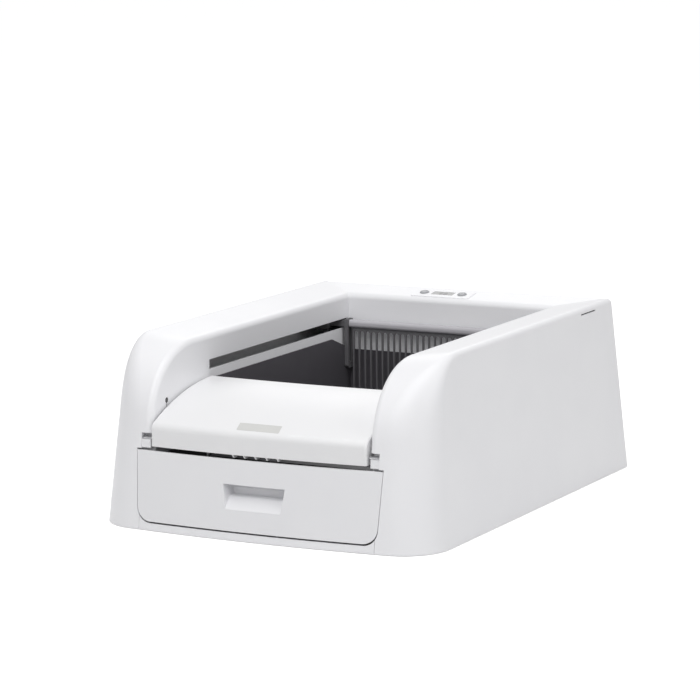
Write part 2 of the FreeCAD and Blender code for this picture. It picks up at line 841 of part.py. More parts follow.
def drawer_screws():
    y = tray_front + tray_wall + 1.8
    return Part.makeCompound([screw(x, y, z, Vector(0, -1, 0), drawer_screw_length, 1.8)
                              for x, z in drawer_screw_spots()])


def waste_bin():
    bottom = tray_floor + tray_wall
    low_half = tray_half - tray_wall - 0.8 - bin_draft
    high_half = tray_half - tray_wall - 0.8

    def body(inset, z0, z1):
        corners = []
        for z in (z0, z1):
            share = (z - bottom) / (bin_height - bottom)
            half = low_half + share * (high_half - low_half) - inset
            front = bin_front + bin_draft * (1 - share) + inset
            back = bin_back - bin_rim - bin_draft * (1 - share) - inset
            corners.append([Vector(-half, front, z), Vector(half, front, z), Vector(half, back, z), Vector(-half, back, z)])
        low, high = corners
        faces = [face_of(low), face_of(high)]
        faces += [face_of([low[k], low[(k + 1) % 4], high[(k + 1) % 4], high[k]]) for k in range(4)]
        block = solid_from(faces)
        return round_edges(block, bin_corner - inset, lambda mid, edge: z0 + 5 < mid.z < z1 - 5)

    outer = body(0, bottom, bin_height)
    rim = box(-high_half - bin_rim, high_half + bin_rim, bin_front - bin_rim, bin_back, bin_height - 2.2, bin_height)
    rim = round_edges(rim, bin_corner, lambda mid, edge: abs(mid.z - bin_height + 1.1) < 0.1)
    inner = body(bin_wall, bottom + bin_wall, bin_height + 20)
    shell = outer.fuse(rim).cut(inner)
    low_back = crest_height - pan_wall - 1.5
    return one_solid(shell.cut(box(-crest_half - 1, crest_half + 1, bin_back - 20, bin_back + 10,
                                   low_back, bin_height + 10)))


def drawer_rail():
    """Runner of the drawer on the right-hand side."""
    outer = cavity_half - 0.3
    y0 = recess_depth + 4
    y1 = bin_back + 14
    bed = box(outer - rail_width, outer, y0, y1, plate_top, tray_floor - slide_gap)
    lip = box(outer - rail_lip, outer, y0, y1, plate_top, plate_top + rail_height)
    stop = box(outer - rail_width, outer, bin_back + 6, y1, plate_top, plate_top + rail_height)
    return one_solid(bed.fuse([lip, stop]).removeSplitter())


# Entry step

def step_skirt_at(y):
    """Height of the step's lower edge at depth y."""
    y0 = hinge_depth + 15
    z0 = step_lip_bottom + 6
    z1 = step_back_height - step_skirt
    return z0 + (z1 - z0) * (y - y0) / (step_back - y0)


def step_arc():
    """Centre and radius of the arc of the step's crown, in the Y-Z plane."""
    front = Vector(step_front() + 1, step_lip_top, 0)
    crown = Vector(step_crown_depth, step_crown_height, 0)
    circle = Part.Arc(front, crown, Vector(step_back, step_back_height, 0)).toShape().Curve
    return circle.Center.x, circle.Center.y, circle.Radius


def step_front():
    return front_at(panel_top) - front_bow


def step_top(inset, curved):
    """Edges of the lip and the crown, front to back, as arcs or as chords of them."""
    centre_y, centre_z, radius = step_arc()
    lip_y = step_front() + step_lip_radius
    lip_z = centre_z + math.sqrt((radius - step_lip_radius) ** 2 - (lip_y - centre_y) ** 2)
    joint = math.atan2(lip_z - centre_z, lip_y - centre_y)
    end = math.acos((step_back - inset - centre_y) / (radius - inset))

    def lip(angle):
        reach = step_lip_radius - inset
        return Vector(0, lip_y + reach * math.cos(angle), lip_z + reach * math.sin(angle))

    def crown(share):
        angle = joint + (end - joint) * share
        return Vector(0, centre_y + (radius - inset) * math.cos(angle), centre_z + (radius - inset) * math.sin(angle))

    middle_of_lip = lip((math.pi + joint) / 2)
    if curved:
        return [Part.Arc(lip(math.pi), middle_of_lip, crown(0)).toShape(),
                Part.Arc(crown(0), crown(0.5), crown(1)).toShape()]
    points = [lip(math.pi), middle_of_lip, crown(0), crown(0.33), crown(0.67), crown(1)]
    return [Part.makeLine(a, b) for a, b in zip(points, points[1:])]


def step_form(inset, half, bottom, curved=True):
    """Step closed below by the given points, back to front."""
    edges = step_top(inset, curved)
    first, last = edges[0].valueAt(edges[0].FirstParameter), edges[-1].valueAt(edges[-1].LastParameter)
    corners = [last] + [Vector(0, y, z) for y, z in bottom] + [first]
    edges += [Part.makeLine(a, b) for a, b in zip(corners, corners[1:])]
    face = Part.Face(Part.Wire(edges))
    reach = math.degrees(math.asin(half * 1.15 / bow_radius))
    face.rotate(Vector(0, bow_axis, 0), Vector(0, 0, 1), -reach)
    form = face.revolve(Vector(0, bow_axis, 0), Vector(0, 0, 1), 2 * reach)
    return one_solid(form.common(box(-half, half, -60, step_back + 60, 0, overall_height)))


def entry_step():
    front, back, bend = step_front(), step_back, hinge_depth + 15
    skirt = [(back, step_skirt_at(back)), (bend, step_skirt_at(bend)), (hinge_depth + 8, step_lip_bottom),
             (front, step_lip_bottom)]
    low = step_lip_bottom - 20
    outer = step_form(0, step_half, skirt)
    outer = bevel_edges(outer, step_side_bevel, lambda mid, edge: abs(mid.x) > step_half - 0.01
                        and mid.y < back - 2 and mid.z > step_skirt_at(mid.y) + 8)
    step = outer.cut(step_form(step_wall, step_half - step_wall, [(back - step_wall, low), (front + step_wall, low)],
                               False))
    spacing = 2 * step_half / (step_stiffeners + 1)
    webs = []
    for k in range(step_stiffeners):
        x = (k - (step_stiffeners - 1) / 2) * spacing
        webs.append(box(x - 1, x + 1, bend, back + 5, step_lip_bottom, overall_height))
    webs = Part.makeCompound(webs).common(step_form(1, step_half - 1, skirt[:1] + [(bend, step_skirt_at(bend))]
                                                    + [(front + 1, step_skirt_at(bend))], False))
    webs = webs.cut(side_profile([(bend - 9, step_lip_bottom + 20), (back + 9, step_back_height - 12),
                                  (back + 9, 0), (bend - 9, 0)], -step_half, step_half))
    ribs = [step_rib((k - (step_rib_count - 1) / 2) * step_rib_pitch) for k in range(step_rib_count)]
    bosses = both_sides(facet_bar(16, hinge_boss_radius, hinge_point(step_half - 8), hinge_point(step_half)))
    step = step.fuse([webs] + ribs + bosses)
    bores = both_sides(facet_bore(12, hinge_pin_radius, hinge_point(step_half - 6), hinge_point(step_half + 1)))
    return one_solid(step.cut(bores).removeSplitter())


def hinge_point(x):
    return Vector(x, hinge_depth, hinge_height)


def step_rib(x):
    """Small upright rib under the lip."""
    front = step_front() + 0.6
    low = step_lip_bottom - step_rib_drop
    points = [(front, step_lip_bottom + 4), (front, step_lip_bottom), (front + 3.6, low), (front + 11, low),
              (front + 15, step_lip_bottom + 22), (front + 2, step_lip_bottom + 22)]
    return side_profile(points, x - step_rib_width / 2, x + step_rib_width / 2)


def step_hinge_pins():
    pin = rod_along_x(step_half - 6, pocket_half - 0.5, hinge_depth, hinge_height, hinge_pin_radius)
    return Part.makeCompound(both_sides(pin))


def hinge_block():
    """Saddle in the right-hand pocket that the step's pin turns in."""
    top = hinge_height - 1.5
    low = panel_top + panel_gap_above + 0.6
    block = box(cavity_half + 1.6, pocket_half, hinge_depth - hinge_block_nose, pocket_back, low, top)
    back = box(cavity_half + 1.6, pocket_half, pocket_back - 4, pocket_back, top, pocket_top - 0.5)
    groove = facet_bore(16, hinge_pin_radius + running_gap, hinge_point(cavity_half), hinge_point(pocket_half + 1))
    return one_solid(block.fuse(back).removeSplitter().cut(groove))


# Litter pan

def litter_pan():
    inner = [(pan_back - pan_wall, pan_back_height), (pan_back - pan_wall, pan_floor + pan_wall),
             (ramp_foot, pan_floor + pan_wall), (ramp_crest, crest_height + pan_wall),
             (ramp_crest - crest_lip, crest_height + pan_wall)]
    slope = pan_wall / math.sin(math.atan2(crest_height - pan_floor, ramp_foot - ramp_crest))
    outer = [(ramp_crest - crest_lip, crest_height), (ramp_crest - slope, crest_height),
             (ramp_foot - slope, pan_floor), (pan_back, pan_floor), (pan_back, pan_back_height)]
    band = side_profile(inner + outer, -pan_half, pan_half)
    band = round_edges(band, pan_corner, lambda mid, edge: abs(mid.x) < 1 and abs(mid.z - pan_floor - pan_wall) < 0.1)
    band = round_edges(band, pan_corner + pan_wall, lambda mid, edge: abs(mid.x) < 1 and abs(mid.z - pan_floor) < 0.1)
    trim = box(crest_half, pan_half + 1, 0, ramp_crest - slope - 0.5, 0, overall_height)
    band = band.cut(both_sides(trim))
    cheek_points = [(ramp_foot - slope, pan_floor), (pan_back, pan_floor), (pan_back, pan_back_height),
                    (pan_back - 60, pan_side_height), (pan_front, pan_side_height),
                    (pan_front, crest_height + 6), (ramp_crest - slope + 2, crest_height)]
    cheek = side_profile(cheek_points, pan_half - pan_wall, pan_half)
    cheek = round_edges(cheek, pan_corner + pan_wall,
                        lambda mid, edge: mid.z < pan_floor + 0.1 and (mid.y > pan_back - 1 or mid.y < ramp_foot))
    cheek = round_edges(cheek, 12.0, lambda mid, edge: mid.z > pan_side_height - 0.1 and abs(mid.y - pan_front) < 0.1)
    return one_solid(band.fuse(both_sides(cheek)).removeSplitter())


# Rake: comb, carriage and rods

def rake_beam():
    half = beam_width / 2
    bar = box(-beam_half, beam_half, rake_park - half, rake_park + half, beam_bottom, beam_top)
    bar = round_edges(bar, beam_round, lambda mid, edge: abs(mid.x) < 1)
    lug = box(beam_half - 2, end_plate_inner + guide_depth - lug_gap, rake_park - lug_width / 2,
              rake_park + lug_width / 2, beam_bottom + 1, beam_top - 1)
    return one_solid(bar.fuse(both_sides(lug)).removeSplitter())


def rake_comb():
    """Plate with a row of tapered tines and arched gaps between them."""
    y = rake_park - tine_thickness / 2
    root = beam_bottom - comb_header
    half, tip = tine_width / 2, tine_tip_width / 2
    first = -(tine_count - 1) / 2 * tine_pitch
    outline = []
    for k in range(tine_count):
        x = first + k * tine_pitch
        if k:
            outline += [(x - tine_pitch * 0.68, root), (x - tine_pitch * 0.32, root)]
        outline += [(x - half, root - 2.6), (x - tip, tine_bottom), (x + tip, tine_bottom), (x + half, root - 2.6)]
    outline += [(half - first, beam_bottom), (first - half, beam_bottom)]
    return face_of([Vector(x, y, z) for x, z in outline]).extrude(Vector(0, tine_thickness, 0))


def carriage():
    """Right-hand truck, its arm through the wall slot, and the comb's guide."""
    y = rake_park
    truck = box(rod_x - truck_width / 2, rod_x + truck_width / 2, y - truck_length / 2, y + truck_length / 2,
                rod_height - truck_height / 2, rod_height + truck_height / 2)
    truck = bevel_edges(truck, 3.0, lambda mid, edge: abs(mid.y - y) < 1)
    run = shaft_height - pulley_radius
    clamp = box(rod_x + truck_width / 2 - 1, pulley_x + belt_width / 2 + 3, y - 10, y + 10, run - 6, run + 5)
    arm_box = box(end_plate_inner, rod_x, y - arm_width / 2, y + arm_width / 2,
                  rod_height - arm_height / 2, rod_height + arm_height / 2)
    plate = box(end_plate_inner, end_plate_outer, y - end_plate_width / 2, y + end_plate_width / 2,
                end_plate_bottom, slot_top)
    plate = bevel_edges(plate, 4.0, lambda mid, edge: mid.z < end_plate_bottom + 0.1 and abs(mid.y - y) > 5)
    solid = truck.fuse([clamp, arm_box, plate])
    half = belt_width / 2 + 0.5
    belt_way = box(pulley_x - half, pulley_x + half, y - 20, y + 20,
                   run - belt_thickness / 2 - 0.4, run + belt_thickness / 2 + 0.4)
    guide = box(end_plate_inner - 1, end_plate_inner + guide_depth, y - lug_width / 2 - 0.3,
                y + lug_width / 2 + 0.3, beam_bottom - comb_drop, slot_top + 5)
    bore = facet_bore(12, rod_radius + running_gap, Vector(rod_x, y - 40, rod_height), Vector(rod_x, y + 40, rod_height))
    return one_solid(solid.cut([belt_way, guide, bore]).removeSplitter())


def guide_rod():
    return rod_along_y(rod_front + 1, rod_back - 1, rod_x, rod_height, rod_radius)


def rod_block_front():
    skin = cavity_half + wall
    half = rod_radius + 4
    block = box(skin, rod_x + half, rod_front, rod_front + rod_block_length, rod_height - half, rod_height + half)
    block = bevel_edges(block, 4.0, lambda mid, edge: mid.x > rod_x + half - 0.1 and abs(mid.z - rod_height) > 5
                        and rod_front + 2 < mid.y < rod_front + rod_block_length - 2)
    bore = facet_bore(12, rod_radius + 0.05, Vector(rod_x, rod_front + 1, rod_height),
                      Vector(rod_x, rod_front + 50, rod_height))
    return one_solid(block.cut(bore))


def rod_block_rear():
    """End block behind the cavity corner, carried by a foot on the cavity wall."""
    skin = cavity_half + wall
    half = rod_radius + 4
    start = rod_back - rod_block_length
    top = slot_bottom - 2
    block = box(skin, rod_x + half, start, rod_back, rod_height - half - 12, rod_height + half)
    foot = box(skin, skin + 3.5, start - 50, start + 1, rod_height - half - 12, top)
    bore = facet_bore(12, rod_radius + 0.05, Vector(rod_x, start - 1, rod_height),
                      Vector(rod_x, rod_back - 1, rod_height))
    return one_solid(block.fuse(foot).cut(bore).removeSplitter())


# Belt drive

def belt():
    """Closed belt of the right-hand side round the drive pulley and the idler."""
    def loop(radius):
        top = Vector(0, 0, radius)
        wires = [Part.makeLine(centre_front + top, centre_back + top),
                 Part.Arc(centre_back + top, centre_back + Vector(0, radius, 0), centre_back - top).toShape(),
                 Part.makeLine(centre_back - top, centre_front - top),
                 Part.Arc(centre_front - top, centre_front - Vector(0, radius, 0), centre_front + top).toShape()]
        return Part.Face(Part.Wire(wires)).extrude(Vector(belt_width, 0, 0))

    x = pulley_x - belt_width / 2
    centre_front = Vector(x, idler_depth, shaft_height)
    centre_back = Vector(x, shaft_depth, shaft_height)
    return one_solid(loop(pulley_radius + belt_thickness / 2).cut(loop(pulley_radius - belt_thickness / 2)))


def pulley(depth, bore):
    """Toothed pulley between two flanges, with a short hub towards the cavity."""
    core = pulley_radius - belt_thickness / 2 - belt_gap
    half = belt_width / 2 + 0.5
    outer = half + pulley_flange

    def disc(x0, x1, radius):
        return facet_bar(16, radius, Vector(x0, depth, shaft_height), Vector(x1, depth, shaft_height))

    body = disc(pulley_x - half, pulley_x + half, core)
    flanges = [disc(pulley_x - outer, pulley_x - half, pulley_flange_radius),
               disc(pulley_x + half, pulley_x + outer, pulley_flange_radius)]
    hub = disc(pulley_x - outer - 4, pulley_x - outer, bore + 3)
    solid = body.fuse(flanges + [hub]).removeSplitter()
    cutter = facet_bore(12, bore, Vector(pulley_x - 30, depth, shaft_height), Vector(pulley_x + 30, depth, shaft_height))
    return one_solid(solid.cut(cutter))


def drive_shaft():
    reach = pulley_x + belt_width / 2 + pulley_flange + 1.5
    return rod_along_x(-reach, reach, shaft_depth, shaft_height, shaft_radius)


def shaft_bearing():
    wall_face = cavity_depth + wall
    x0 = bearing_x - bearing_width / 2
    x1 = bearing_x + bearing_width / 2
    foot = box(x0, x1, wall_face, shaft_depth, shaft_height - bearing_radius + 2, shaft_height + bearing_radius - 2)
    flange = box(x0, x1, wall_face, wall_face + 3, shaft_height - bearing_radius - 4, shaft_height + bearing_radius + 4)
    head = facet_bar(16, bearing_radius, Vector(x0, shaft_depth, shaft_height), Vector(x1, shaft_depth, shaft_height))
    bore = facet_bore(12, shaft_radius + running_gap, Vector(x0 - 1, shaft_depth, shaft_height),
                      Vector(x1 + 1, shaft_depth, shaft_height))
    return one_solid(foot.fuse([flange, head]).removeSplitter().cut(bore))


def involute_outline(teeth, phase):
    """Points of a spur gear's edge round its own centre, phase in degrees."""
    pitch = gear_module * teeth / 2
    base = pitch * math.cos(math.radians(20))
    tip = pitch + gear_module * 0.95
    root = pitch - gear_module * 1.25

    def involute(radius):
        angle = math.acos(base / radius)
        return math.tan(angle) - angle

    half_tooth = math.pi / (2 * teeth) - gear_backlash / (2 * pitch) + involute(pitch)
    start = max(base, root)
    flank = [(r, half_tooth - involute(r)) for r in (start, tip)]
    if start > root + 0.1:
        flank = [(root, flank[0][1])] + flank
    points = []
    for k in range(teeth):
        centre = math.radians(phase) + 2 * math.pi * k / teeth
        points += [(r, centre - a) for r, a in flank] + [(r, centre + a) for r, a in reversed(flank)]
    return [(r * math.cos(a), r * math.sin(a)) for r, a in points]


def spur_gear(teeth, x0, x1, height, phase):
    points = involute_outline(teeth, phase)
    face = face_of([Vector(x0, shaft_depth + u, height + v) for u, v in points])
    return face.extrude(Vector(x1 - x0, 0, 0))


def drive_gear():
    gear = spur_gear(gear_teeth, gear_x - gear_width / 2, gear_x + gear_width / 2, shaft_height, -90)
    bore = facet_bore(12, shaft_radius, Vector(gear_x - gear_width, shaft_depth, shaft_height),
                      Vector(gear_x + gear_width, shaft_depth, shaft_height))
    return one_solid(gear.cut(bore))


def motor_pinion():
    """Pinion in one piece with its stub shaft."""
    pinion = spur_gear(pinion_teeth, gear_x - gear_width / 2 - 1, gear_x + gear_width / 2 + 1, pinion_height,
                       90 + 180 / pinion_teeth)
    stub = rod_along_x(gear_x, bracket_x + bracket_thickness + 3, shaft_depth, pinion_height, motor_shaft_radius)
    return one_solid(pinion.fuse(stub).removeSplitter())


def gearmotor():
    face = bracket_x + bracket_thickness

    def drum(x0, x1, radius):
        return facet_bar(16, radius, Vector(x0, shaft_depth, pinion_height), Vector(x1, shaft_depth, pinion_height))

    back = face + gearbox_length
    nose = drum(face - bracket_thickness - 0.6, face, motor_shaft_radius + 2)
    motor = drum(face, back, motor_radius).fuse([
        nose, drum(back, back + motor_can_length, motor_can_radius),
        drum(back + motor_can_length, back + motor_can_length + 3, motor_can_radius * 0.5)])
    bore = facet_bore(12, motor_shaft_radius + running_gap, Vector(face - 10, shaft_depth, pinion_height),
                      Vector(face + 4, shaft_depth, pinion_height))
    holes = [facet_bar(8, screw_radius + 0.05, Vector(face - 1, y, z), Vector(face + 6, y, z))
             for y, z in motor_screw_spots()]
    return one_solid(motor.cut([bore] + holes).removeSplitter())


def motor_screw_spots():
    spread = motor_radius * 0.68
    return [(shaft_depth + s * spread, pinion_height) for s in (-1, 1)]


def motor_bracket():
    wall_face = cavity_depth + wall
    x0, x1 = bracket_x, bracket_x + bracket_thickness
    low = pinion_height - motor_radius - 2
    high = shaft_height + shaft_radius + 10
    plate = box(x0, x1, wall_face, shaft_depth + motor_radius + 3, low, high)
    plate = bevel_edges(plate, 8.0, lambda mid, edge: mid.y > shaft_depth + motor_radius + 2.9
                        and abs(mid.x - (x0 + x1) / 2) < 0.1)
    flange = box(x0, x1 + 34, wall_face, wall_face + bracket_thickness, low, high)

    def hole(sides, radius, y, z):
        return facet_bar(sides, radius, Vector(x0 - 1, y, z), Vector(x1 + 1, y, z))

    holes = [hole(16, shaft_radius + 0.8, shaft_depth, shaft_height),
             hole(16, motor_shaft_radius + 2.4, shaft_depth, pinion_height)]
    holes += [hole(8, screw_radius + 0.2, y, z) for y, z in motor_screw_spots()]
    return one_solid(plate.fuse(flange).cut(holes).removeSplitter())


def motor_screws():
    return Part.makeCompound([screw(bracket_x - 1.6, y, z, Vector(1, 0, 0), 6.5, 1.6) for y, z in motor_screw_spots()])


def idler_bracket():
    skin = cavity_half + wall
    shoulder = pulley_x - belt_width / 2 - 0.5 - pulley_flange - 4.3
    plate = box(skin, skin + 4, idler_depth - 9, idler_depth + 11, shaft_height - 12, shaft_height + 12)
    boss = facet_bar(8, 7, Vector(skin + 3, idler_depth, shaft_height), Vector(shoulder, idler_depth, shaft_height))
    axle = rod_along_x(skin + 3, pulley_x + belt_width / 2 + pulley_flange + 3, idler_depth, shaft_height, axle_radius)
    return one_solid(plate.fuse([boss, axle]).removeSplitter())


def axle_clips():
    x0 = pulley_x + belt_width / 2 + 0.5 + pulley_flange + 0.3
    clip = facet_bar(8, axle_radius + 2.5, Vector(x0, idler_depth, shaft_height), Vector(x0 + 0.8, idler_depth, shaft_height))
    clip = clip.cut(facet_bore(12, axle_radius, Vector(x0 - 1, idler_depth, shaft_height),
                               Vector(x0 + 2, idler_depth, shaft_height)))
    return Part.makeCompound(both_sides(clip))


# Electrics

def beam_sensor():
    """Light-beam sensor behind the keyhole in the right-hand cavity wall."""
    skin = cavity_half + wall
    body = box(skin, skin + 10, sensor_depth - 6, sensor_depth + 6, sensor_height - sensor_slot_drop - 2,
               sensor_height + sensor_radius + 3)
    lens = facet_bar(16, sensor_radius - 0.2, Vector(cavity_half + 0.4, sensor_depth, sensor_height),
                     Vector(skin + 1, sensor_depth, sensor_height))
    return one_solid(body.fuse(lens).removeSplitter())


def control_board():
    y0 = cavity_depth + wall + board_standoff
    y1 = y0 + board_thickness
    board = box(board_x - board_width / 2, board_x + board_width / 2, y0, y1,
                board_z - board_height / 2, board_z + board_height / 2)
    parts = [(-40, -18, 16, 12, 9), (-14, -18, 14, 12, 9), (14, -18, 20, 12, 9), (-8, 10, 18, 18, 2.5),
             (28, 12, 15, 12, 11), (-38, 12, 12, 12, 12)]
    pieces = []
    for x, z, width, height, deep in parts:
        pieces.append(box(board_x + x - width / 2, board_x + x + width / 2, y1 - 0.2, y1 + deep,
                          board_z + z - height / 2, board_z + z + height / 2))
    return one_solid(board.fuse(pieces).removeSplitter())


def control_panel():
    flange = box(-bezel_width / 2, bezel_width / 2, -bezel_length / 2, bezel_length / 2, 0, bezel_flange)
    flange = round_edges(flange, 5.0, lambda mid, edge: abs(mid.z - bezel_flange / 2) < 0.01)
    body = box(-bezel_body_width / 2, bezel_body_width / 2, -bezel_body_length / 2, bezel_body_length / 2,
               -bezel_body_depth, 0)
    hollow = box(-bezel_body_width / 2 + 2, bezel_body_width / 2 - 2, -bezel_body_length / 2 + 2,
                 bezel_body_length / 2 - 2, -bezel_body_depth - 1, -bezel_wall)
    panel = flange.fuse(body).removeSplitter().cut(hollow)
    cuts = [facet_bore(24, button_radius + button_gap, Vector(side * button_spacing / 2, 0, -5),
                       Vector(side * button_spacing / 2, 0, 5)) for side in (-1, 1)]
    cuts.append(box(-lens_width / 2 - 0.1, lens_width / 2 + 0.1, -lens_length / 2 - 0.1, lens_length / 2 + 0.1, -5, 5))
    return panel_frame(one_solid(panel.cut(cuts)))


def display_lens():
    window = box(-lens_width / 2, lens_width / 2, -lens_length / 2, lens_length / 2, -bezel_wall, bezel_flange - 0.2)
    flange = box(-lens_width / 2 - 1.5, lens_width / 2 + 1.5, -lens_length / 2 - 1.5, lens_length / 2 + 1.5,
                 -bezel_wall - 1, -bezel_wall)
    return panel_frame(one_solid(window.fuse(flange).removeSplitter()))


def button(side):
    x = side * button_spacing / 2
    top = bezel_flange + button_height
    cap = facet_bar(24, button_radius, Vector(x, 0, -3), Vector(x, 0, top))
    cap = bevel_edges(cap, 0.5, lambda mid, edge: mid.z > top - 0.1)
    reach = button_radius + 1.2
    flange = box(x - reach, x + reach, -reach, reach, -bezel_wall - 1.3, -bezel_wall - 0.3)
    stem = box(x - 2, x + 2, -2, 2, -bezel_body_depth + 1.3 + button_travel, -2)
    return panel_frame(one_solid(cap.fuse([flange, stem]).removeSplitter()))


def panel_board():
    board = box(-bezel_body_width / 2 + 0.5, bezel_body_width / 2 - 0.5, -bezel_body_length / 2 + 0.5,
                bezel_body_length / 2 - 0.5, -bezel_body_depth - 1.4, -bezel_body_depth)
    switches = [box(side * button_spacing / 2 - 3, side * button_spacing / 2 + 3, -3, 3,
                    -bezel_body_depth - 0.1, -bezel_body_depth + 1.0) for side in (-1, 1)]
    display = box(-lens_width / 2 + 1, lens_width / 2 - 1, -lens_length / 2 + 1, lens_length / 2 - 1,
                  -bezel_body_depth - 0.1, -bezel_wall - 1.3)
    return panel_frame(one_solid(board.fuse(switches + [display]).removeSplitter()))


def power_socket():
    """Low-voltage inlet in the rear wall."""
    face = rear_depth - rear_draft * socket_height

    def bar(sides, radius, y0, y1):
        return facet_bar(sides, radius, Vector(socket_x, face + y0, socket_height), Vector(socket_x, face + y1, socket_height))

    barrel = bar(16, socket_radius, -16, 0.6)
    collar = bar(16, socket_radius + 2, -wall - 1.6, -wall - 0.7)
    bore = bar(12, socket_bore_radius, -10, 2)
    pin = bar(8, 1.0, -11, -1)
    return one_solid(barrel.fuse(collar).cut(bore).fuse(pin).removeSplitter())


def limit_switch(x0, depth):
    top = rod_height - arm_height / 2 - 2.6
    body = box(x0, x0 + 7, depth - 7, depth + 7, top - 11, top)
    lever = box(x0 + 1.5, x0 + 5.5, depth - 6, depth + 5, top, top + 0.6)
    nub = box(x0 + 1.5, x0 + 5.5, depth + 2, depth + 4.5, top + 0.3, top + 2.2)
    return one_solid(body.fuse([lever, nub]).removeSplitter())


def home_switch():
    return limit_switch(cavity_half + wall + 3.5, rake_park)


def front_switch():
    return limit_switch(cavity_half + wall, rake_park - rake_travel - 6)


def place(shape):
    """Move a piece from the front seam line to the middle of the footprint."""
    moved = shape.copy()
    moved.translate(Vector(0, -origin_depth, 0))
    return moved


def write(name, shape):
    place(shape).exportStep("parts/" + name + ".step")


def write_pair(name, shape):
    """The right-hand piece and its mirror image."""
    write(name + "_right", shape)
    write(name + "_left", mirrored(shape))


os.makedirs("parts", exist_ok=True)

write("outer_shell", outer_shell())
write("base_frame", base_frame())
write("rubber_feet", rubber_feet())
write("base_screws", base_screws())
write("litter_pan", litter_pan())

write("drawer_front", drawer_front())
write("drawer_tray", drawer_tray())
write("waste_bin", waste_bin())
write("drawer_screws", drawer_screws())
write_pair("drawer_rail", drawer_rail())

write("entry_step", entry_step())
write("step_hinge_pins", step_hinge_pins())
write_pair("hinge_block", hinge_block())

write("rake_beam", rake_beam())
write("rake_comb", rake_comb())
write_pair("carriage", carriage())
write_pair("guide_rod", guide_rod())
write_pair("rod_block_front", rod_block_front())
write_pair("rod_block_rear", rod_block_rear())

write_pair("belt", belt())
write("drive_shaft", drive_shaft())
write_pair("drive_pulley", pulley(shaft_depth, shaft_radius))
write_pair("idler_pulley", pulley(idler_depth, axle_radius + running_gap))
write_pair("idler_bracket", idler_bracket())
write("axle_clips", axle_clips())
write_pair("shaft_bearing", shaft_bearing())
write("drive_gear", drive_gear())
write("motor_pinion", motor_pinion())
write("gearmotor", gearmotor())
write("motor_bracket", motor_bracket())
write("motor_screws", motor_screws())

write_pair("beam_sensor", beam_sensor())
write("control_board", control_board())
write("control_panel", control_panel())
write("display_lens", display_lens())
write("panel_board", panel_board())
write("power_button", button(-1))
write("cycle_button", button(1))
write("power_socket", power_socket())
write("home_switch", home_switch())
write("front_switch", front_switch())
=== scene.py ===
import bmesh
import bpy
import math
from mathutils import Matrix, Vector


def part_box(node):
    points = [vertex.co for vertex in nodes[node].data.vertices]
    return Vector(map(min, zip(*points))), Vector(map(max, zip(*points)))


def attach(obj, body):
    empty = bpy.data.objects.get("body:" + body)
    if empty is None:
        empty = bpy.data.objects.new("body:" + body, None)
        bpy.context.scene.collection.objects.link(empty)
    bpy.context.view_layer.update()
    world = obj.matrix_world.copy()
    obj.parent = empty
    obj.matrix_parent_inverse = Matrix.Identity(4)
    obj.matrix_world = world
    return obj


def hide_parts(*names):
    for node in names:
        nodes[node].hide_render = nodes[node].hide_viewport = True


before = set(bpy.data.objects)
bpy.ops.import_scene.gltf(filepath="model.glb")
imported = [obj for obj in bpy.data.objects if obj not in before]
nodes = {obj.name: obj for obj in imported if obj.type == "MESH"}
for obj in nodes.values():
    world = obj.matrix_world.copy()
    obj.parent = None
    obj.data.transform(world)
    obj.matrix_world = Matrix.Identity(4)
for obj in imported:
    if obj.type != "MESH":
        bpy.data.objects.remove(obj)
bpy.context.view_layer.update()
print("frame loaded:", len(nodes), "nodes")

mm = 0.001


# Node helpers

def linearColour(hexText):
    channels = [int(hexText[k:k + 2], 16) / 255 for k in (1, 3, 5)]
    return [c / 12.92 if c <= 0.04045 else ((c + 0.055) / 1.055) ** 2.4 for c in channels] + [1.0]


def addNode(tree, kind, settings=None, sockets=None, links=None):
    node = tree.nodes.new(kind)
    for name, value in (settings or {}).items():
        setattr(node, name, value)
    for name, value in (sockets or {}).items():
        node.inputs[name].default_value = value
    for name, output in (links or {}).items():
        tree.links.new(output, node.inputs[name])
    return node


def newMaterial(name):
    material = bpy.data.materials.new(name)
    material.use_nodes = True
    tree = material.node_tree
    tree.nodes.clear()
    output = addNode(tree, "ShaderNodeOutputMaterial")
    return material, tree, output


def objectPlace(tree):
    return addNode(tree, "ShaderNodeTexCoord").outputs["Object"]


def perMetre(size):
    # A texture's scale is features per metre, so a size in mm becomes 1000 / size
    return 1000 / size


def noise(tree, place, size, **sockets):
    values = {"Scale": perMetre(size)}
    values.update({name.capitalize(): value for name, value in sockets.items()})
    return addNode(tree, "ShaderNodeTexNoise", None, values, {"Vector": place}).outputs["Fac"]


def blendColours(tree, factor, first, second):
    colours = {6: linearColour(first), 7: linearColour(second)}
    return addNode(tree, "ShaderNodeMix", {"data_type": "RGBA"}, colours, {0: factor}).outputs[2]


def switchColours(tree, factor, first, second):
    links = {0: factor, 6: first, 7: second}
    return addNode(tree, "ShaderNodeMix", {"data_type": "RGBA"}, None, links).outputs[2]


def spread(tree, value, low, high):
    ranged = addNode(tree, "ShaderNodeMapRange", None, {"To Min": low, "To Max": high}, {"Value": value})
    return ranged.outputs["Result"]


def roughen(tree, height, strength, depth):
    values = {"Strength": strength, "Distance": depth * mm}
    return addNode(tree, "ShaderNodeBump", None, values, {"Height": height}).outputs["Normal"]


def addSurface(tree, output, sockets, links):
    shader = addNode(tree, "ShaderNodeBsdfPrincipled", None, sockets, links)
    tree.links.new(shader.outputs["BSDF"], output.inputs["Surface"])


# Moulded plastics. Each has a spark-eroded mould grain, a slow drift of tone from the flow
# of the melt, and a roughness that varies a little, so that a highlight isn't one flat patch.

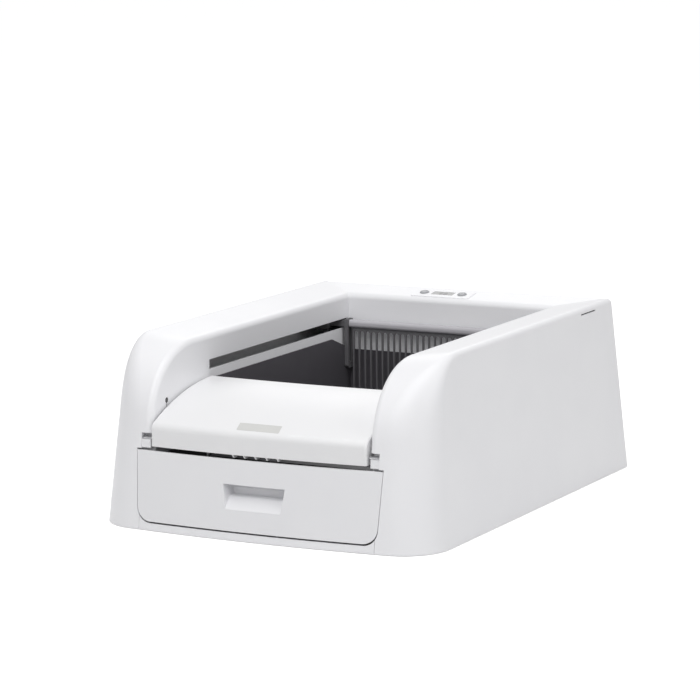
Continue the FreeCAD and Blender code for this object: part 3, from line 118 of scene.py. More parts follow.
plastics = {
    # Satin white ABS of the housing, base, hinge blocks and control panel
    "housingAbs": {"colour": "#F1F1F3", "tone": "#ECECEF", "roughness": (0.34, 0.42), "grain": 0.9,
                   "grainDepth": 0.010, "tonePatch": 90.0, "ior": 1.53, "coat": 0.0},
    # White ABS of the drawer, a little greyer than the housing's
    "drawerAbs": {"colour": "#EDEDEF", "tone": "#E8E8EB", "roughness": (0.36, 0.44), "grain": 0.9,
                  "grainDepth": 0.010, "tonePatch": 90.0, "ior": 1.53, "coat": 0.0},
    # White ABS of the entry step, a little smoother than the housing; its colour and tone are painted a
    # little darker than the housing's, as painted shade for the shade that falls on the step
    "stepAbsPaintedShade": {"colour": "#EDEDEE", "tone": "#E8E8EA", "roughness": (0.30, 0.38), "grain": 0.9,
                "grainDepth": 0.008, "tonePatch": 110.0, "ior": 1.53, "coat": 0.0},
    # Dark grey polypropylene of the litter pan, with a fine texture
    "panPolypropylene": {"colour": "#57555A", "tone": "#4E4C51", "roughness": (0.46, 0.58),
                         "grain": 1.1, "grainDepth": 0.016, "tonePatch": 70.0, "ior": 1.49,
                         "coat": 0.0},
    # Near-black polypropylene of the waste bin
    "binPolypropylene": {"colour": "#2F2F32", "tone": "#29292C", "roughness": (0.48, 0.58),
                         "grain": 1.1, "grainDepth": 0.014, "tonePatch": 60.0, "ior": 1.49,
                         "coat": 0.0},
    # Polished grey nylon of the rake's bar
    "rakeNylon": {"colour": "#C0BEC3", "tone": "#B8B6BB", "roughness": (0.16, 0.24), "grain": 0.8,
                  "grainDepth": 0.004, "tonePatch": 40.0, "ior": 1.53, "coat": 0.0},
    # Matt grey nylon of the comb and its carriages
    "combNylon": {"colour": "#6E6D70", "tone": "#666568", "roughness": (0.38, 0.50), "grain": 0.9,
                  "grainDepth": 0.010, "tonePatch": 40.0, "ior": 1.53, "coat": 0.0},
    # Undyed cream acetal of the pulleys, bearings, gear and rails
    "naturalAcetal": {"colour": "#E9E6DC", "tone": "#E1DDD1", "roughness": (0.28, 0.36),
                      "grain": 0.7, "grainDepth": 0.006, "tonePatch": 20.0, "ior": 1.48, "coat": 0.0},
    # Black nylon of the blocks, brackets, switches and inlet
    "blackNylon": {"colour": "#29292B", "tone": "#222224", "roughness": (0.42, 0.54), "grain": 0.8,
                   "grainDepth": 0.010, "tonePatch": 20.0, "ior": 1.53, "coat": 0.0},
    # Grey keys with a soft-touch lacquer
    "keySoftTouch": {"colour": "#A6A7AB", "tone": "#9E9FA3", "roughness": (0.52, 0.62), "grain": 0.6,
                     "grainDepth": 0.008, "tonePatch": 12.0, "ior": 1.50, "coat": 0.0},
    # Light grey plastic of the bare badge plate
    "badgeGrey": {"colour": "#D2D2D0", "tone": "#CDCDCB", "roughness": (0.30, 0.38), "grain": 0.7,
                  "grainDepth": 0.004, "tonePatch": 20.0, "ior": 1.53, "coat": 0.0},
    # White printing ink of the signs on the keys
    "signInk": {"colour": "#F4F4F4", "tone": "#ECECEC", "roughness": (0.40, 0.50), "grain": 0.5,
                "grainDepth": 0.002, "tonePatch": 6.0, "ior": 1.50, "coat": 0.0},
    # Dark plastic of the unlit display segments
    "unlitSegment": {"colour": "#3C3A3C", "tone": "#373538", "roughness": (0.20, 0.28), "grain": 0.5,
                     "grainDepth": 0.001, "tonePatch": 6.0, "ior": 1.49, "coat": 0.0},
    # Smoked acrylic of the sensors and the display lens
    "sensorAcrylic": {"colour": "#1B181A", "tone": "#141214", "roughness": (0.08, 0.12),
                      "grain": 0.8, "grainDepth": 0.001, "tonePatch": 10.0, "ior": 1.49, "coat": 0.4},
}


def mouldedPlastic(name):
    values = plastics[name]
    material, tree, output = newMaterial(name)
    place = objectPlace(tree)
    grain = noise(tree, place, values["grain"], detail=3.0, roughness=0.6)
    drift = noise(tree, place, values["tonePatch"], detail=2.0)
    addSurface(tree, output, {"IOR": values["ior"], "Coat Weight": values["coat"], "Coat Roughness": 0.05},
               {"Base Color": blendColours(tree, drift, values["colour"], values["tone"]),
                "Roughness": spread(tree, drift, *values["roughness"]),
                "Normal": roughen(tree, grain, 1.0, values["grainDepth"])})
    return material


# Metals: a drawn or ground surface, with fine lines along the axis that the wheel or die left.
# Where the three values of along differ, the lines run along the axis with the least of them.

lineStretch = 40

metals = {
    # Ground steel of shaft, pinion, bracket and pins, with fine lines along x
    "groundSteel": {"colour": "#C2C2C4", "tone": "#B2B2B5", "roughness": (0.20, 0.30), "line": 0.25,
                    "along": (1, 40, 40)},
    # Bright drawn steel of the guide rods, with fine lines along y
    "drawnSteelRod": {"colour": "#C8C8CA", "tone": "#B6B6BA", "roughness": (0.16, 0.26),
                      "line": 0.25, "along": (40, 1, 40)},
    # Zinc-plated steel of the screws and clips, with lines in no direction
    "zincPlatedSteel": {"colour": "#BDBDB8", "tone": "#A9A9A6", "roughness": (0.30, 0.42),
                        "line": 0.4, "along": (12, 12, 12)},
}


def finishedMetal(name):
    values = metals[name]
    material, tree, output = newMaterial(name)
    scale = [value / lineStretch for value in values["along"]]
    stretched = addNode(tree, "ShaderNodeMapping", None, {"Scale": scale}, {"Vector": objectPlace(tree)})
    lines = noise(tree, stretched.outputs["Vector"], values["line"], detail=2.0)
    addSurface(tree, output, {"Metallic": 1.0},
               {"Base Color": blendColours(tree, lines, values["colour"], values["tone"]),
                "Roughness": spread(tree, lines, *values["roughness"]),
                "Normal": roughen(tree, lines, 0.6, 0.004)})
    return material


# Rubbers, dull and softly uneven

rubbers = {
    # Black neoprene of the belts
    "beltNeoprene": {"colour": "#1B1B1C", "tone": "#242425", "roughness": (0.62, 0.75), "grain": 0.5},
    # Soft dark grey rubber of the feet
    "footRubber": {"colour": "#343436", "tone": "#3C3C3E", "roughness": (0.66, 0.8), "grain": 0.8},
}


def mouldedRubber(name):
    values = rubbers[name]
    material, tree, output = newMaterial(name)
    grain = noise(tree, objectPlace(tree), values["grain"], detail=4.0)
    addSurface(tree, output, {"IOR": 1.52},
               {"Base Color": blendColours(tree, grain, values["colour"], values["tone"]),
                "Roughness": spread(tree, grain, *values["roughness"]),
                "Normal": roughen(tree, grain, 1.0, 0.03)})
    return material


# Two-part nodes: past a plane, given by its normal and a point on it, the second finish takes over

def pastPlane(tree, place, normal, point):
    reach = addNode(tree, "ShaderNodeVectorMath", {"operation": "DOT_PRODUCT"}, {1: normal}, {0: place})
    limit = Vector(normal).dot(Vector(point))
    past = addNode(tree, "ShaderNodeMath", {"operation": "GREATER_THAN"}, {1: limit},
                   {0: reach.outputs["Value"]})
    return past.outputs["Value"]


# Glass-fibre board with green solder mask over copper tracks, and the dark epoxy bodies of what
# is soldered to it. A cell of the track pattern is cellShare track widths across.

board = {"mask": "#1E5A38", "track": "#2B7148", "trackWidth": 1.2, "cellShare": 4, "trackEdge": 0.42,
         "roughness": (0.24, 0.34), "epoxy": "#242426", "epoxyWorn": "#2C2C2F", "epoxyGrain": 0.6,
         "thickness": 1.65}


def circuitBoard(name, normal, point):
    material, tree, output = newMaterial(name)
    place = objectPlace(tree)
    # Square cells stand for copper tracks that show through the green mask
    tracks = addNode(tree, "ShaderNodeTexVoronoi", {"distance": "CHEBYCHEV"},
                     {"Scale": perMetre(board["trackWidth"] * board["cellShare"])}, {"Vector": place})
    cells = tracks.outputs["Distance"]
    edge = addNode(tree, "ShaderNodeMath", {"operation": "GREATER_THAN"}, {1: board["trackEdge"]}, {0: cells})
    grain = noise(tree, place, board["epoxyGrain"])
    mask = blendColours(tree, edge.outputs["Value"], board["mask"], board["track"])
    epoxy = blendColours(tree, grain, board["epoxy"], board["epoxyWorn"])
    addSurface(tree, output, {"IOR": 1.55},
               {"Base Color": switchColours(tree, pastPlane(tree, place, normal, point), mask, epoxy),
                "Roughness": spread(tree, cells, *board["roughness"])})
    return material


# Gearmotor: a die-cast zinc gearbox, dull and grainy, and the bright plated can of the motor
# behind it

motor = {"cast": "#8E8F92", "castTone": "#808185", "can": "#C4C4C2", "canTone": "#B4B4B3",
         "grain": 0.8, "roughness": (0.28, 0.46), "canLength": 35.0}


def motorMetal():
    material, tree, output = newMaterial("motorMetal")
    place = objectPlace(tree)
    grain = noise(tree, place, motor["grain"], detail=3.0)
    cast = blendColours(tree, grain, motor["cast"], motor["castTone"])
    can = blendColours(tree, grain, motor["can"], motor["canTone"])
    seam = (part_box("gearmotor")[1].x - motor["canLength"] * mm, 0, 0)
    addSurface(tree, output, {"Metallic": 1.0},
               {"Base Color": switchColours(tree, pastPlane(tree, place, (1, 0, 0), seam), cast, can),
                "Roughness": spread(tree, grain, *motor["roughness"]),
                "Normal": roughen(tree, grain, 0.8, 0.01)})
    return material


materials = {name: mouldedPlastic(name) for name in plastics}
materials.update({name: finishedMetal(name) for name in metals})
materials.update({name: mouldedRubber(name) for name in rubbers})

# Distance from the front seam line to the middle of the footprint
frontToMiddle = 337.0


def fromFront(depth):
    return depth - frontToMiddle


# The ledge that carries the keys slopes down towards the front
ledge = {"x": -20.0, "depth": 630.0, "height": 255.063, "slope": 0.161, "boardTop": -9.15}
ledgeTurn = Matrix.Rotation(math.atan(ledge["slope"]), 4, "X")
ledgeSpot = Vector((ledge["x"], fromFront(ledge["depth"]), ledge["height"])) * mm
ledgePlace = Matrix.Translation(ledgeSpot) @ ledgeTurn

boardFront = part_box("control_board")[0].y + board["thickness"] * mm
materials["controlBoard"] = circuitBoard("controlBoard", (0, 1, 0), (0, boardFront, 0))
materials["panelBoard"] = circuitBoard("panelBoard", tuple(ledgeTurn @ Vector((0, 0, 1))),
                                       ledgePlace @ Vector((0, 0, ledge["boardTop"] * mm)))
materials["motorMetal"] = motorMetal()

finishOf = {
    "housingAbs": ["outer_shell", "base_frame", "hinge_block_left", "hinge_block_right", "control_panel"],
    "drawerAbs": ["drawer_front", "drawer_tray"],
    # The entry step takes the darker copy of the housing's white ABS, which carries painted shade
    "stepAbsPaintedShade": ["entry_step"],
    "panPolypropylene": ["litter_pan"],
    "binPolypropylene": ["waste_bin"],
    "rakeNylon": ["rake_beam"],
    "combNylon": ["rake_comb", "carriage_left", "carriage_right"],
    "naturalAcetal": ["drawer_rail_left", "drawer_rail_right", "drive_pulley_left", "drive_pulley_right",
                      "idler_pulley_left", "idler_pulley_right", "shaft_bearing_left",
                      "shaft_bearing_right", "drive_gear"],
    "blackNylon": ["rod_block_front_left", "rod_block_front_right", "rod_block_rear_left",
                   "rod_block_rear_right", "idler_bracket_left", "idler_bracket_right", "power_socket",
                   "home_switch", "front_switch"],
    "keySoftTouch": ["power_button", "cycle_button"],
    "sensorAcrylic": ["beam_sensor_left", "beam_sensor_right", "display_lens"],
    "groundSteel": ["drive_shaft", "motor_pinion", "motor_bracket", "step_hinge_pins"],
    "drawnSteelRod": ["guide_rod_left", "guide_rod_right"],
    "zincPlatedSteel": ["base_screws", "drawer_screws", "motor_screws", "axle_clips"],
    "beltNeoprene": ["belt_left", "belt_right"],
    "footRubber": ["rubber_feet"],
    "controlBoard": ["control_board"],
    "panelBoard": ["panel_board"],
    "motorMetal": ["gearmotor"],
}


def dressNodes():
    for finish, names in finishOf.items():
        for name in names:
            slots = nodes[name].data.materials
            slots.clear()
            slots.append(materials[finish])


dressNodes()
print("nodes dressed")


# Modelling helpers

# Least part of a normal along an axis for a face that counts as facing along it
facing = 0.9


def selectOnly(piece):
    bpy.ops.object.select_all(action="DESELECT")
    piece.select_set(True)
    bpy.context.view_layer.objects.active = piece


def startBlock(name, low, high):
    bpy.ops.object.select_all(action="DESELECT")
    middle = [(a + b) / 2 * mm for a, b in zip(low, high)]
    span = [(b - a) * mm for a, b in zip(low, high)]
    bpy.ops.mesh.primitive_cube_add(size=1, location=middle, scale=span)
    return named(name)


def startDrum(name, sides, radius, place, depth):
    bpy.ops.object.select_all(action="DESELECT")
    centre = [c * mm for c in place]
    bpy.ops.mesh.primitive_cylinder_add(vertices=sides, radius=radius * mm, depth=depth * mm,
                                        location=centre)
    return named(name)


def named(name):
    piece = bpy.context.object
    piece.name = name
    bpy.ops.object.transform_apply(location=True, rotation=True, scale=True)
    return piece


def edit(piece, kind="FACE"):
    selectOnly(piece)
    bpy.ops.object.mode_set(mode="EDIT")
    bpy.ops.mesh.select_mode(type=kind)
    bpy.ops.mesh.select_all(action="DESELECT")


def endEdit():
    bpy.ops.object.mode_set(mode="OBJECT")


def pick(piece, kind, test):
    mesh = bmesh.from_edit_mesh(piece.data)
    items = {"FACE": mesh.faces, "EDGE": mesh.edges, "VERT": mesh.verts}[kind]
    for item in items:
        corners = [item.co] if kind == "VERT" else [v.co for v in item.verts]
        centre = sum(corners, Vector()) / len(corners) / mm
        item.select_set(test(centre, item))
    mesh.select_flush_mode()
    bmesh.update_edit_mesh(piece.data)


def roundEdges(offset, segments):
    bpy.ops.mesh.bevel(offset=offset * mm, segments=segments, affect="EDGES")


def sliceAt(axis, places):
    # A cut leaves only its own line selected, so everything is selected again for the next one
    normal = [0, 0, 0]
    normal[axis] = 1
    for place in places:
        bpy.ops.mesh.select_all(action="SELECT")
        bpy.ops.mesh.bisect(plane_co=[share * place * mm for share in normal], plane_no=normal)
    bpy.ops.mesh.select_all(action="SELECT")


def applyModifier(piece, kind, **values):
    selectOnly(piece)
    modifier = piece.modifiers.new(kind.lower(), kind)
    for name, value in values.items():
        setattr(modifier, name, value)
    bpy.ops.object.modifier_apply(modifier=modifier.name)


def copyOf(piece, name, matrix):
    copied = piece.copy()
    copied.data = piece.data.copy()
    copied.name = name
    bpy.context.scene.collection.objects.link(copied)
    copied.data.transform(matrix)
    return copied


def joined(name, pieces):
    bpy.ops.object.select_all(action="DESELECT")
    for piece in pieces:
        piece.select_set(True)
    bpy.context.view_layer.objects.active = pieces[0]
    if len(pieces) > 1:
        bpy.ops.object.join()
    return named(name)


def finishPiece(piece, finish, angle=40):
    selectOnly(piece)
    bpy.ops.object.shade_smooth_by_angle(angle=math.radians(angle))
    piece.data.materials.clear()
    piece.data.materials.append(materials[finish])


# Ramp in the finger scoop, rising at 45 degrees towards the deep hollow behind

scoopRamp = {"halfLow": 43.3, "halfHigh": 46.0, "low": 43.05, "high": 59.5, "toe": 0.1,
             "lip": -1.9, "top": 13.0, "back": 26.5, "round": 3.0, "near": 0.1, "nearFoot": 0.3}


def buildScoopRamp():
    v = scoopRamp
    lip, top, back = (fromFront(v[name]) for name in ("lip", "top", "back"))
    piece = startBlock("scoopRamp", (-v["halfHigh"], lip, v["low"]), (v["halfHigh"], back, v["high"]))
    edit(piece, "EDGE")
    bpy.ops.mesh.select_all(action="SELECT")
    bpy.ops.mesh.bisect(plane_co=(0, top * mm, 0), plane_no=(0, 1, 0))
    pick(piece, "EDGE", lambda c, e: abs(c.y - lip) < v["near"] and c.z > v["high"] - v["near"])
    bpy.ops.transform.translate(value=(0, 0, (v["low"] + v["toe"] - v["high"]) * mm))
    pick(piece, "EDGE", lambda c, e: abs(c.y - top) < v["near"] and c.z > v["high"] - v["near"]
         and abs(c.x) < 1)
    roundEdges(v["round"], 4)
    bpy.ops.mesh.select_mode(type="VERT")
    pick(piece, "VERT", lambda c, e: c.z < v["low"] + v["nearFoot"])
    bpy.ops.transform.resize(value=(v["halfLow"] / v["halfHigh"], 1, 1), center_override=(0, 0, 0))
    endEdit()
    finishPiece(piece, "drawerAbs", 30)
    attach(piece, "drawer")


# Bare badge plate on the crown of the step

badge = {"place": (1.0, 20.4), "above": 175, "width": 66.0, "length": 15.2, "lean": -2.2,
         "thickness": 0.5, "corner": 1.2, "columns": 12, "rows": 6}


def buildBadge():
    v = badge
    x, y = v["place"][0], fromFront(v["place"][1])
    half, reach = v["width"] / 2, v["length"] / 2
    piece = startBlock("badgePlate", (x - half, y - reach, v["above"]),
                       (x + half, y + reach, v["above"] + v["thickness"]))
    edit(piece, "VERT")
    pick(piece, "VERT", lambda c, e: c.y > y)
    bpy.ops.transform.translate(value=(v["lean"] * mm, 0, 0))
    bpy.ops.mesh.select_mode(type="EDGE")
    pick(piece, "EDGE", lambda c, e: abs(abs(c.x - x) - half) < 1.5 and abs(abs(c.y - y) - reach) < 0.1)
    roundEdges(v["corner"], 4)
    # Only the upper face stays, cut into a grid that can follow the crown
    bpy.ops.mesh.select_mode(type="FACE")
    pick(piece, "FACE", lambda c, f: f.normal.z < -facing)
    bpy.ops.mesh.delete(type="FACE")
    pick(piece, "FACE", lambda c, f: f.normal.z < facing)
    bpy.ops.mesh.delete(type="FACE")
    sliceAt(0, [x - half + v["width"] * share / v["columns"] for share in range(1, v["columns"])])
    sliceAt(1, [y - reach + v["length"] * share / v["rows"] for share in range(1, v["rows"])])
    endEdit()
    applyModifier(piece, "SHRINKWRAP", target=nodes["entry_step"], wrap_method="PROJECT",
                  use_project_x=False, use_project_y=False, use_project_z=True,
                  use_negative_direction=True, use_positive_direction=False)
    applyModifier(piece, "SOLIDIFY", thickness=v["thickness"] * mm, offset=0)
    finishPiece(piece, "badgeGrey", 30)
    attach(piece, "step")


# Signs on the two keys: a broken ring with a bar, and a broken ring with an arrow head

keySigns = {"spacing": 64.0, "top": 2.62, "ring": 2.7, "line": 0.22, "ringSteps": 36, "lineSides": 8,
            "gap": 32.0, "powerGapAt": 90, "cycleGapAt": 30, "bar": 2.6, "barSides": 12,
            "barShift": 0.65, "barRound": 0.8, "arrow": 1.0, "round": 0.1, "tipRound": 1.6}


def brokenRing(name, gapAt):
    v = keySigns
    bpy.ops.object.select_all(action="DESELECT")
    bpy.ops.mesh.primitive_torus_add(major_segments=v["ringSteps"], minor_segments=v["lineSides"],
                                     major_radius=v["ring"] * mm, minor_radius=v["line"] * mm)
    piece = named(name)
    edit(piece)
    pick(piece, "FACE", lambda c, f: abs(math.degrees(math.atan2(c.y, c.x)) - gapAt) < v["gap"])
    bpy.ops.mesh.delete(type="FACE")
    bpy.ops.mesh.select_mode(type="EDGE")
    pick(piece, "EDGE", lambda c, e: e.is_boundary)
    bpy.ops.mesh.fill()
    endEdit()
    return piece


def onLedge(piece, x, height):
    piece.data.transform(ledgePlace @ Matrix.Translation((x * mm, 0, height * mm)))


def powerBar():
    v = keySigns
    bar = startDrum("powerBar", v["barSides"], v["line"], (0, 0, 0), v["bar"])
    edit(bar)
    pick(bar, "FACE", lambda c, f: abs(f.normal.z) > facing)
    roundEdges(v["line"] * v["barRound"], 3)
    endEdit()
    shift = Matrix.Translation((0, v["bar"] * v["barShift"] * mm, 0))
    bar.data.transform(shift @ Matrix.Rotation(math.pi / 2, 4, "X"))
    return bar


def arrowHead():
    # A drum with three sides, turned to point along the ring where its gap ends
    v = keySigns
    head = startDrum("cycleHead", 3, v["arrow"], (0, 0, 0), v["line"] * 2)
    edit(head, "EDGE")
    pick(head, "EDGE", lambda c, e: abs(c.z) < 0.01)
    roundEdges(v["round"] * v["tipRound"], 3)
    bpy.ops.mesh.select_mode(type="FACE")
    pick(head, "FACE", lambda c, f: f.normal.z > facing)
    roundEdges(v["round"], 2)
    endEdit()
    angle = math.radians(v["cycleGapAt"] + v["gap"])
    tip = Vector((math.cos(angle), math.sin(angle), 0)) * v["ring"] * mm
    head.data.transform(Matrix.Translation(tip) @ Matrix.Rotation(angle + math.pi, 4, "Z"))
    return head


def buildKeySigns():
    v = keySigns
    power = joined("powerSign", [brokenRing("powerRing", v["powerGapAt"]), powerBar()])
    onLedge(power, -v["spacing"] / 2, v["top"])
    finishPiece(power, "signInk")
    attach(power, "power_key")
    cycle = joined("cycleSign", [brokenRing("cycleRing", v["cycleGapAt"]), arrowHead()])
    onLedge(cycle, v["spacing"] / 2, v["top"])
    finishPiece(cycle, "signInk")
    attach(cycle, "cycle_key")


# Two seven-segment figures behind the display lens, unlit

figures = {"height": 8.0, "width": 4.2, "line": 0.7, "length": 3.2, "pointShare": 0.95,
           "spacing": 7.5, "top": 0.83, "thickness": 0.06}


def buildSegment():
    v = figures
    reach, line = v["length"] / 2, v["line"] / 2
    segment = startBlock("segment", (-reach, -line, 0), (reach, line, v["thickness"]))
    edit(segment, "EDGE")
    pick(segment, "EDGE", lambda c, e: abs(abs(c.x) - reach) < 0.01 and abs(abs(c.y) - line) < 0.01)
    roundEdges(line * v["pointShare"], 1)
    endEdit()
    return segment


def buildFigures():
    v = figures
    across, up = v["width"] / 2, v["height"] / 2
    flat, upright = Matrix.Identity(4), Matrix.Rotation(math.pi / 2, 4, "Z")
    spots = [(0, up, flat), (0, 0, flat), (0, -up, flat),
             (-across, up / 2, upright), (across, up / 2, upright),
             (-across, -up / 2, upright), (across, -up / 2, upright)]
    segment = buildSegment()
    bars = []
    for side in (-1, 1):
        for x, y, turn in spots:
            place = Matrix.Translation(Vector((x + side * v["spacing"] / 2, y, 0)) * mm)
            bars.append(copyOf(segment, "segmentCopy", place @ turn))
    bpy.data.objects.remove(segment)
    piece = joined("displayFigures", bars)
    onLedge(piece, 0, v["top"])
    finishPiece(piece, "unlitSegment")
    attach(piece, "housing")


# Screws: pan head with a cross recess, and a trapezoid thread

screws = {"headRadius": 3.1, "headSides": 28, "headRound": 0.7, "recess": 3.4, "recessWidth": 0.9,
          "recessDepth": 1.1, "recessStart": -1, "coreRadius": 1.05, "coreSides": 16, "tipShare": 0.45,
          "threadDepth": 0.42, "threadSink": 0.1, "threadStart": 0.3, "threadRoot": 0.7,
          "threadCrest": 0.25, "threadFace": 0.01, "pitch": 1.2, "turnSteps": 12, "plainEnd": 1.6}


def crossCutter():
    v = screws
    half, arm = v["recessWidth"] / 2, v["recess"] / 2
    cross = startBlock("cross", (-arm, -half, v["recessStart"]), (arm, half, v["recessDepth"]))
    edit(cross)
    sliceAt(0, [-half, half])
    reach = (v["recess"] - v["recessWidth"]) / 2
    for side in (-1, 1):
        pick(cross, "FACE", lambda c, f: f.normal.y * side > facing and abs(c.x) < half)
        bpy.ops.mesh.extrude_region_move(TRANSFORM_OT_translate={"value": (0, side * reach * mm, 0)})
    endEdit()
    return cross


def screwHead(name, height):
    v = screws
    head = startDrum(name, v["headSides"], v["headRadius"], (0, 0, height / 2), height)
    edit(head)
    pick(head, "FACE", lambda c, f: f.normal.z < -facing)
    roundEdges(v["headRound"], 4)
    endEdit()
    cross = crossCutter()
    applyModifier(head, "BOOLEAN", object=cross, operation="DIFFERENCE", solver="EXACT")
    bpy.data.objects.remove(cross)
    return head


def screwCore(length):
    v = screws
    core = startDrum("core", v["coreSides"], v["coreRadius"], (0, 0, length / 2), length)
    edit(core)
    pick(core, "FACE", lambda c, f: f.normal.z > facing)
    bpy.ops.transform.resize(value=(v["tipShare"], v["tipShare"], 1))
    endEdit()
    return core


def screwThread(length, headHeight):
    # One upright face, narrower at its crest, is wound along the core
    v = screws
    start, crest = headHeight + v["threadStart"], v["coreRadius"] + v["threadDepth"]
    thread = startBlock("thread", (v["coreRadius"] - v["threadSink"], -v["threadFace"], start),
                        (crest, v["threadFace"], start + v["pitch"] * v["threadRoot"]))
    edit(thread)
    pick(thread, "FACE", lambda c, f: f.normal.y < facing)
    bpy.ops.mesh.delete(type="FACE")
    bpy.ops.mesh.select_mode(type="EDGE")
    pick(thread, "EDGE", lambda c, e: c.x > crest - v["threadFace"])
    bpy.ops.transform.resize(value=(1, 1, v["threadCrest"]))
    endEdit()
    turns = int((length - headHeight - v["plainEnd"]) / v["pitch"])
    applyModifier(thread, "SCREW", angle=2 * math.pi, screw_offset=v["pitch"] * mm, iterations=turns,
                  steps=v["turnSteps"], render_steps=v["turnSteps"], axis="Z")
    return thread


def buildScrew(name, length, headHeight):
    return joined(name, [screwHead(name, headHeight), screwCore(length), screwThread(length, headHeight)])


def setScrews(name, node, body, length, headHeight, turn, spots):
    model = buildScrew(name + "Model", length, headHeight)
    copies = [copyOf(model, name, Matrix.Translation(Vector(spot) * mm) @ turn) for spot in spots]
    bpy.data.objects.remove(model)
    piece = joined(name, copies)
    finishPiece(piece, "zincPlatedSteel", 35)
    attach(piece, body)
    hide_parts(node)


baseScrews = {"length": 18.3, "head": 2.1, "side": 177.5, "depths": (45, 315, 585), "rearSide": 110,
              "rearDepth": 611.5, "height": 1.9}
drawerScrews = {"length": 11.0, "head": 1.8, "side": 130, "depth": 28.3, "heights": (36, 84)}
motorScrews = {"length": 6.5, "head": 1.6, "inset": 2.96}


def buildScrews():
    v = baseScrews
    spots = [(side * v["side"], fromFront(y), v["height"]) for side in (-1, 1) for y in v["depths"]]
    spots += [(side * v["rearSide"], fromFront(v["rearDepth"]), v["height"]) for side in (-1, 1)]
    setScrews("baseScrews", "base_screws", "housing", v["length"], v["head"], Matrix.Identity(4), spots)
    v = drawerScrews
    forward = Matrix.Rotation(math.pi / 2, 4, "X")
    spots = [(side * v["side"], fromFront(v["depth"]), z) for side in (-1, 1) for z in v["heights"]]
    setScrews("drawerScrews", "drawer_screws", "drawer", v["length"], v["head"], forward, spots)
    v = motorScrews
    sideways = Matrix.Rotation(math.pi / 2, 4, "Y")
    low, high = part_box("motor_screws")
    depths = (low.y / mm + v["inset"], high.y / mm - v["inset"])
    spots = [(low.x / mm, y, (low.z + high.z) / 2 / mm) for y in depths]
    setScrews("motorScrews", "motor_screws", "housing", v["length"], v["head"], sideways, spots)


buildScoopRamp()
print("scoop ramp built")
buildBadge()
print("badge built")
buildKeySigns()
buildFigures()
print("key signs and figures built")
buildScrews()
print("screws built")


# Floor, light and camera

stageValues = {"floorColour": "#C2C2C2", "floorSize": 90.0, "world": 0.57, "lift": 0.43}
white = (1, 1, 1, 1)
lampValues = {
    "overhead": {"place": (0.2, -0.9, 2.6), "target": (0, -0.1, 0.1), "size": 2.0, "power": 21.0},
    "front": {"place": (0.3, -2.6, 2.4), "target": (0, 0, 0.15), "size": 1.8, "power": 23.0},
    "right": {"place": (3.2, -0.6, 1.6), "target": (0, 0, 0.15), "size": 1.8, "power": 17.0},
    "behind": {"place": (-1.2, 3.0, 2.2), "target": (0, 0, 0.15), "size": 1.8, "power": 14.0},
}


# Paper that the camera and reflections see as white, and that throws back a duller grey

def whiteFloor():
    material, tree, output = newMaterial("paperFloor")
    path = addNode(tree, "ShaderNodeLightPath")
    seen = addNode(tree, "ShaderNodeMath", {"operation": "MAXIMUM"}, None,
                   {0: path.outputs["Is Camera Ray"], 1: path.outputs["Is Glossy Ray"]})
    seen = addNode(tree, "ShaderNodeMath", {"operation": "MAXIMUM"}, None,
                   {0: seen.outputs["Value"], 1: path.outputs["Is Transmission Ray"]})
    grey = linearColour(stageValues["floorColour"])
    matte = addNode(tree, "ShaderNodeBsdfDiffuse", None, {"Color": grey})
    paper = addNode(tree, "ShaderNodeBsdfDiffuse", None, {"Color": white})
    glow = addNode(tree, "ShaderNodeEmission", None, {"Strength": stageValues["lift"]})
    bright = addNode(tree, "ShaderNodeAddShader", None, None,
                     {0: paper.outputs["BSDF"], 1: glow.outputs["Emission"]})
    mixed = addNode(tree, "ShaderNodeMixShader", None, None,
                    {0: seen.outputs["Value"], 1: matte.outputs["BSDF"], 2: bright.outputs["Shader"]})
    tree.links.new(mixed.outputs["Shader"], output.inputs["Surface"])
    return material


def layFloor():
    bpy.ops.object.select_all(action="DESELECT")
    bpy.ops.mesh.primitive_plane_add(size=stageValues["floorSize"], location=(0, 0, 0))
    floor = bpy.context.object
    floor.name = "studioFloor"
    floor.data.materials.append(whiteFloor())


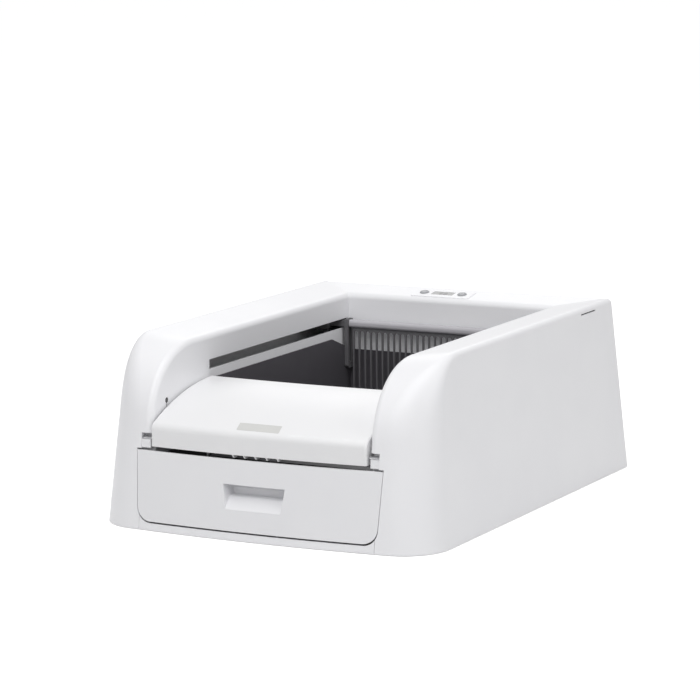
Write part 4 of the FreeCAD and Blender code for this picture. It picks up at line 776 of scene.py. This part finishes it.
def lightWorld():
    world = bpy.data.worlds.new("studioWorld")
    bpy.context.scene.world = world
    world.use_nodes = True
    tree = world.node_tree
    tree.nodes.clear()
    output = addNode(tree, "ShaderNodeOutputWorld")
    path = addNode(tree, "ShaderNodeLightPath")
    ambient = addNode(tree, "ShaderNodeBackground", None, {"Color": white, "Strength": stageValues["world"]})
    backdrop = addNode(tree, "ShaderNodeBackground", None, {"Color": white, "Strength": 1.0})
    links = {0: path.outputs["Is Camera Ray"], 1: ambient.outputs["Background"],
             2: backdrop.outputs["Background"]}
    mixed = addNode(tree, "ShaderNodeMixShader", None, None, links)
    tree.links.new(mixed.outputs["Shader"], output.inputs["Surface"])


def hangLamps():
    for name, values in lampValues.items():
        light = bpy.data.lights.new(name, "AREA")
        light.size = values["size"]
        light.energy = values["power"]
        lamp = bpy.data.objects.new(name, light)
        bpy.context.scene.collection.objects.link(lamp)
        place = Vector(values["place"])
        lamp.location = place
        lamp.rotation_euler = (Vector(values["target"]) - place).to_track_quat("-Z", "Y").to_euler()


# The camera's place and three axes come from the straight edges of the object in the photograph
cameraValues = {
    "place": (2.1058, -4.0001, 0.9726),
    "right": (0.88337, 0.46849, -0.01315),
    "up": (-0.06598, 0.15209, 0.98616),
    "lens": 162.68,
    "sensor": 36.0,
    "farthest": 200.0,
}


def setCamera():
    data = bpy.data.cameras.new("photoCamera")
    data.lens = cameraValues["lens"]
    data.sensor_width = cameraValues["sensor"]
    data.sensor_fit = "HORIZONTAL"
    data.clip_end = cameraValues["farthest"]
    camera = bpy.data.objects.new("photoCamera", data)
    bpy.context.scene.collection.objects.link(camera)
    right = Vector(cameraValues["right"]).normalized()
    up = Vector(cameraValues["up"])
    up = (up - right * up.dot(right)).normalized()
    back = right.cross(up)
    turn = Matrix((right, up, back)).transposed()
    camera.matrix_world = Matrix.Translation(cameraValues["place"]) @ turn.to_4x4()
    bpy.context.scene.camera = camera


layFloor()
lightWorld()
hangLamps()
setCamera()
bpy.context.scene.view_settings.view_transform = "Standard"
print("floor, lamps and camera set")
